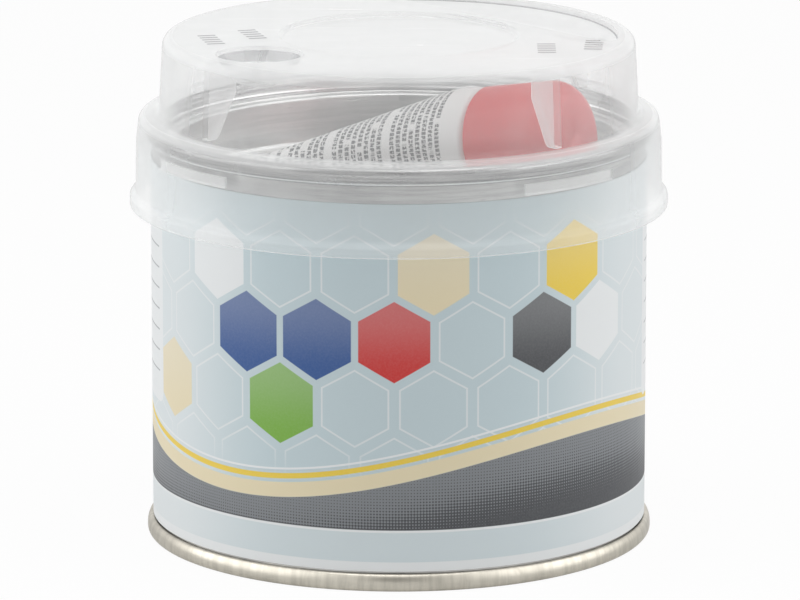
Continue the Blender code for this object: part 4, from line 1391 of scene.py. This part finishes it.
    def bowl(self, cap, sizes, skin):
        """Ball that shapes the dosing bowl: with a skin its outside, cut off below the cap's top."""
        radius = (self.bowl_radius**2 + self.bowl_depth**2) / (2 * self.bowl_depth)
        middle = heading(cap.bowl_azimuth) * self.bowl_place
        middle.z = CAP_TOP - self.bowl_depth + radius
        add = bpy.ops.mesh.primitive_uv_sphere_add
        ball = add_primitive("bowl", add, segments=72, ring_count=48, radius=radius + skin)
        edit_all()
        bpy.ops.transform.translate(value=middle)
        if skin:
            level = (0.0, 0.0, CAP_TOP - sizes.wall / 2)
            bpy.ops.mesh.bisect(plane_co=level, plane_no=(0, 0, 1), use_fill=True, clear_outer=True)
        tidy_mesh()
        return ball

    def recess(self, cap, sizes, skin):
        """Segment that shapes the filler recess: with a skin its outside."""
        chord = self.disc_radius + self.recess_margin - skin
        radius = sizes.flat - self.recess_edge + skin
        corner = self.recess_corner + skin
        half = math.acos((chord + corner) / (radius - corner))
        spread = math.degrees(half)
        middle = ((radius - corner) * math.cos(half), (radius - corner) * math.sin(half))
        plan = arc((middle[0], -middle[1]), corner, 180, 360 - spread, 9)
        plan += arc((0.0, 0.0), radius, -spread, spread, 40)[1:-1]
        plan += arc(middle, corner, spread, 180, 9)
        ahead = heading(cap.recess_azimuth)
        low = CAP_TOP - self.recess_depth - skin
        high = CAP_TOP - sizes.wall / 2 if skin else CAP_TOP + self.clearance
        points = [ahead * out + beside(ahead) * along + Vector((0, 0, low)) for out, along in plan]
        return slab_piece("recess", points, Vector((0, 0, high - low)), 0.0 if skin else self.edge_round)

    def tick_groups(self):
        """Cutters for the ticks cut into the cap's top: one row is modelled and copied to each place."""
        wide, deep, sunk = self.tick_size
        start = -self.tick_pitch * (self.ticks - 1) / 2 - deep / 2
        corners = ((-wide / 2, start), (wide / 2, start), (wide / 2, start + deep), (-wide / 2, start + deep))
        points = [Vector((x, y, -sunk)) for x, y in corners]
        row = slab_piece("ticks", points, Vector((0.0, 0.0, self.clearance)))
        make_active(row)
        step = row.modifiers.new("row", "ARRAY")
        step.count = self.ticks
        step.use_relative_offset = False
        step.use_constant_offset = True
        step.constant_offset_displace = (0.0, self.tick_pitch, 0.0)
        bpy.ops.object.modifier_apply(modifier=step.name)
        groups = [row]
        for _ in self.tick_middles[1:]:
            copy = row.copy()
            copy.data = row.data.copy()
            bpy.context.scene.collection.objects.link(copy)
            groups.append(copy)
        for group, (x, y, turn) in zip(groups, self.tick_middles):
            put_in_place(group, Matrix.Translation((x, y, CAP_TOP)) @ Matrix.Rotation(turn, 4, "Z"))
        return groups


class TUB_OT_hardener_tube(bpy.types.Operator):
    """Add the squeezed hardener tube with its shoulder, neck and folded tail"""

    bl_idname = "tub.hardener_tube"
    bl_label = "Hardener Tube"

    shoulder_drop = 1.3 * MM
    shoulder_length = 3.6 * MM
    shoulder_edge = ((0.2 * MM, shoulder_drop), (-0.35 * MM, 0.5 * MM), (-0.85 * MM, 0.13 * MM))
    neck_radius = 4.5 * MM
    neck_fillet = (0.3 * MM, 0.6 * MM)
    crimp_slope = 1.0 * MM
    taper_share = 0.93
    squeeze_rings = 16
    fold_step = 1.2 * MM
    fold_slope = 0.15 * MM
    tail_round = 0.06 * MM

    def rings(self, tube):
        """Sections from the neck to the tail: height along the axis, half thickness, half of the flats, drop.

        The tube is full behind its shoulder and tapers from there, with its underside kept straight.
        """
        wide = tube.radius
        neck = self.neck_radius
        rise, out = self.neck_fillet
        turned = [(tube.neck_top, neck), (self.shoulder_length + rise, neck)]
        turned += [(self.shoulder_length, neck + out)]
        turned += [(height, wide - inset) for height, inset in self.shoulder_edge]
        sections = [(height, half, 0.0, 0.0) for height, half in turned]
        start = -self.shoulder_drop
        end = -tube.body_length + tube.crimp_length + self.crimp_slope
        last = tube.crimp_thickness / 2 + self.crimp_slope
        for i in range(self.squeeze_rings + 1):
            share = 1 - i / self.squeeze_rings
            straight = last + (wide - last) * share
            half = last + (wide - last) * min(1.0, share / self.taper_share)
            sections.append((end + (start - end) * share, half, math.pi * (wide - half) / 2, straight - half))
        half = tube.crimp_thickness / 2
        return sections + [(end - self.crimp_slope, half, math.pi * (wide - half) / 2, 0.0)]

    def select_ring(self, skin, ring, side=0):
        """Select a ring's vertices, or only those on one side of the tube."""
        mesh = bmesh.from_edit_mesh(skin.data)
        mesh.verts.ensure_lookup_table()
        for index in ring:
            mesh.verts[index].select_set(not side or side * mesh.verts[index].co.y > 1e-6)
        mesh.select_flush(not side)

    def next_ring(self, skin, before, after):
        """Extrude the selected ring to the next section, its two halves moved apart by the flats."""
        step = {"value": (-before[3], 0.0, after[0] - before[0])}
        bpy.ops.mesh.extrude_region_move(TRANSFORM_OT_translate=step)
        shrink = after[1] / before[1]
        bpy.ops.transform.resize(value=(shrink, shrink, 1.0), center_override=(0.0, 0.0, after[0]))
        apart = after[2] - before[2] * shrink
        mesh = bmesh.from_edit_mesh(skin.data)
        ring = [vertex.index for vertex in mesh.verts if vertex.select]
        for side in (-1, 1):
            self.select_ring(skin, ring, side)
            bpy.ops.transform.translate(value=(0.0, side * apart, 0.0))
        self.select_ring(skin, ring)
        bpy.ops.transform.translate(value=(after[3], 0.0, 0.0))

    def execute(self, context):
        tube = context.scene.tub_tube
        material = lacquer_material(tube)
        sections = self.rings(tube)
        add = bpy.ops.mesh.primitive_circle_add
        circle = {"vertices": tube.steps, "radius": sections[0][1], "fill_type": "NGON"}
        skin = add_primitive("tube_skin", add, **circle)
        edit_all()
        bpy.ops.transform.translate(value=(0.0, 0.0, sections[0][0]))
        for before, after in zip(sections, sections[1:]):
            self.next_ring(skin, before, after)
        tidy_mesh()
        put_in_place(skin, tube_frame())
        finish_piece(skin, material, "hardener_tube", ["hardener_tube"])

        tail = self.folded_tail(tube)
        put_in_place(tail, tube_frame())
        finish_piece(tail, material, "hardener_tube")
        return {"FINISHED"}

    def folded_tail(self, tube):
        """The crimp: the tail folded over on itself, with the step where the fold ends."""
        half = tube.crimp_thickness / 2
        root = tube.crimp_length - tube.body_length
        bend = half - tube.body_length
        fold = root - self.fold_step
        width = math.pi * tube.radius - 2 * half
        corner, thin = 0.7 * half, 0.3 * half
        side = [(-half, root), (-half, bend), (-corner, bend - corner), (0.0, bend - half)]
        side += [(corner, bend - corner), (half, bend), (half, fold)]
        side += [(thin, fold + self.fold_slope), (thin, root)]
        points = [Vector((x, -width / 2, z)) for x, z in side]
        return slab_piece("tube_tail", points, Vector((0.0, width, 0.0)), self.tail_round)


class TUB_OT_tube_cap(bpy.types.Operator):
    """Add the red screw cap with its skirt and inner sleeve"""

    bl_idname = "tub.tube_cap"
    bl_label = "Tube Cap"

    steps = 96
    step = 0.2 * MM
    wall = 1.2 * MM
    gap = 0.35 * MM
    edge = 0.3 * MM
    sleeve = 4.8 * MM
    sleeve_foot = 4.25 * MM
    gate_radii = (1.0 * MM, 1.2 * MM)
    gate_depth = 0.12 * MM

    def execute(self, context):
        tube = context.scene.tub_tube
        outer = tube.radius + self.step
        skirt = outer - self.wall
        end = tube.cap_length
        inner_end = end - self.wall
        seat = tube.neck_top + self.gap
        middle = (outer - tube.cap_round, end - tube.cap_round)
        outline = [(0.0, end - self.gate_depth), (self.gate_radii[0], end - self.gate_depth)]
        outline += [(self.gate_radii[1], end)] + arc(middle, tube.cap_round, 90, 0, 14)
        outline += arc((outer - self.edge, self.gap + self.edge), self.edge, 0, -90, 5)
        outline += [(skirt, self.gap), (skirt, middle[1]), (middle[0], inner_end)]
        outline += [(self.sleeve + self.wall, inner_end), (self.sleeve + self.wall, self.sleeve_foot)]
        outline += [(self.sleeve, self.sleeve_foot), (self.sleeve, seat), (0.0, seat)]
        cap = spun_piece("tube_screw_cap", outline, self.steps)
        put_in_place(cap, tube_frame())
        finish_piece(cap, red_material(tube), "tube_cap", ["tube_cap"])
        return {"FINISHED"}


class TUB_OT_stage(bpy.types.Operator):
    """Add the floor, the soft lights, the world and the camera"""

    bl_idname = "tub.stage"
    bl_label = "Stage"

    floor_size = 6.0
    floor_gap = 0.05 * MM
    fill_light = 0.22
    # Name, place, diameter in metres and power in watts
    softboxes = (
        ("left_softbox", (-0.9, -0.16, 0.42), 1.4, 6.8),
        ("right_softbox", (0.9, -0.16, 0.42), 1.4, 6.4),
        ("top_softbox", (0.0, -0.1, 1.1), 0.9, 3.8),
    )
    flag_size = (0.55, 1.2, 1.0)
    flag_place = (0.0, -1.5, 0.8)

    def execute(self, context):
        stage = context.scene.tub_stage
        context.scene.view_settings.view_transform = "Standard"
        self.floor(stage)
        self.world(context.scene)
        for softbox in self.softboxes:
            self.light(*softbox)
        self.flag()
        self.camera(context.scene, stage)
        return {"FINISHED"}

    def floor(self, stage):
        plane = {"size": self.floor_size, "location": (0.0, 0.0, -self.floor_gap)}
        ground = add_primitive("floor", bpy.ops.mesh.primitive_plane_add, **plane)
        ground.data.materials.append(floor_material(stage))

    def world(self, scene):
        """White all round to the camera and in reflections, dimmer as light on the object."""
        world = bpy.data.worlds.new("studio")
        world.use_nodes = True
        scene.world = world
        nodes = Nodes(world.node_tree)
        background = world.node_tree.nodes["Background"].inputs
        path = nodes.add("ShaderNodeLightPath").outputs
        seen = nodes.math("MAXIMUM", path["Is Camera Ray"], path["Is Glossy Ray"])
        seen = nodes.math("MAXIMUM", seen, path["Is Transmission Ray"])
        nodes.feed(background["Color"], (1.0, 1.0, 1.0))
        nodes.feed(background["Strength"], nodes.fade(seen, 0.0, 1.0, self.fill_light, 1.0))

    def light(self, name, place, size, power):
        data = bpy.data.lights.new(name, "AREA")
        data.shape = "DISK"
        data.size = size
        data.energy = power
        lamp = bpy.data.objects.new(name, data)
        lamp.location = place
        aim = Vector((0.0, 0.0, CAN_HEIGHT / 2)) - Vector(place)
        lamp.rotation_euler = aim.to_track_quat("-Z", "Y").to_euler()
        bpy.context.scene.collection.objects.link(lamp)

    def flag(self):
        """A dark board behind the camera, seen only in reflections."""
        board = add_primitive("dark_flag", bpy.ops.mesh.primitive_plane_add, size=1.0)
        edit_all()
        bpy.ops.transform.resize(value=self.flag_size)
        bpy.ops.object.mode_set(mode="OBJECT")
        put_in_place(board, Matrix.Translation(self.flag_place) @ Matrix.Rotation(math.pi / 2, 4, "X"))
        board.data.materials.append(flag_material())
        for ray in ("camera", "diffuse", "shadow"):
            setattr(board, f"visible_{ray}", False)

    def camera(self, scene, stage):
        data = bpy.data.cameras.new("camera")
        data.sensor_fit = "HORIZONTAL"
        data.sensor_width = 36.0
        data.lens = stage.lens
        data.clip_start = 0.05
        data.clip_end = 20.0
        camera = bpy.data.objects.new("camera", data)
        camera.location = (stage.aside, -stage.distance, stage.height)
        camera.rotation_euler = (math.pi / 2 - stage.pitch, 0.0, 0.0)
        scene.collection.objects.link(camera)
        scene.camera = camera


class TUB_PT_panel(bpy.types.Panel):
    """Lists the pieces in the order they are made"""

    bl_label = "Body Filler Tub"
    bl_idname = "TUB_PT_panel"
    bl_space_type = "VIEW_3D"
    bl_region_type = "UI"
    bl_category = "Tub"

    def draw(self, context):
        for operator in OPERATORS:
            self.layout.operator(operator.bl_idname)


SETTINGS = {
    "tub_tin": TinSettings,
    "tub_label": LabelSettings,
    "tub_cap": CapSettings,
    "tub_tube": TubeSettings,
    "tub_stage": StageSettings,
}
OPERATORS = (
    TUB_OT_stage,
    TUB_OT_can_wall,
    TUB_OT_bottom_end,
    TUB_OT_mouth_ring,
    TUB_OT_lever_lid,
    TUB_OT_label,
    TUB_OT_putty,
    TUB_OT_hidden_pieces,
    TUB_OT_hardener_tube,
    TUB_OT_tube_cap,
    TUB_OT_mixing_cap,
)


def register():
    for settings in SETTINGS.values():
        bpy.utils.register_class(settings)
    for name, settings in SETTINGS.items():
        setattr(bpy.types.Scene, name, PointerProperty(type=settings))
    for operator in (*OPERATORS, TUB_PT_panel):
        bpy.utils.register_class(operator)


def unregister():
    for operator in (TUB_PT_panel, *reversed(OPERATORS)):
        bpy.utils.unregister_class(operator)
    for name, settings in SETTINGS.items():
        delattr(bpy.types.Scene, name)
        bpy.utils.unregister_class(settings)


def main():
    register()
    for operator in OPERATORS:
        group, name = operator.bl_idname.split(".")
        getattr(getattr(bpy.ops, group), name)()


if __name__ == "__main__":
    main()
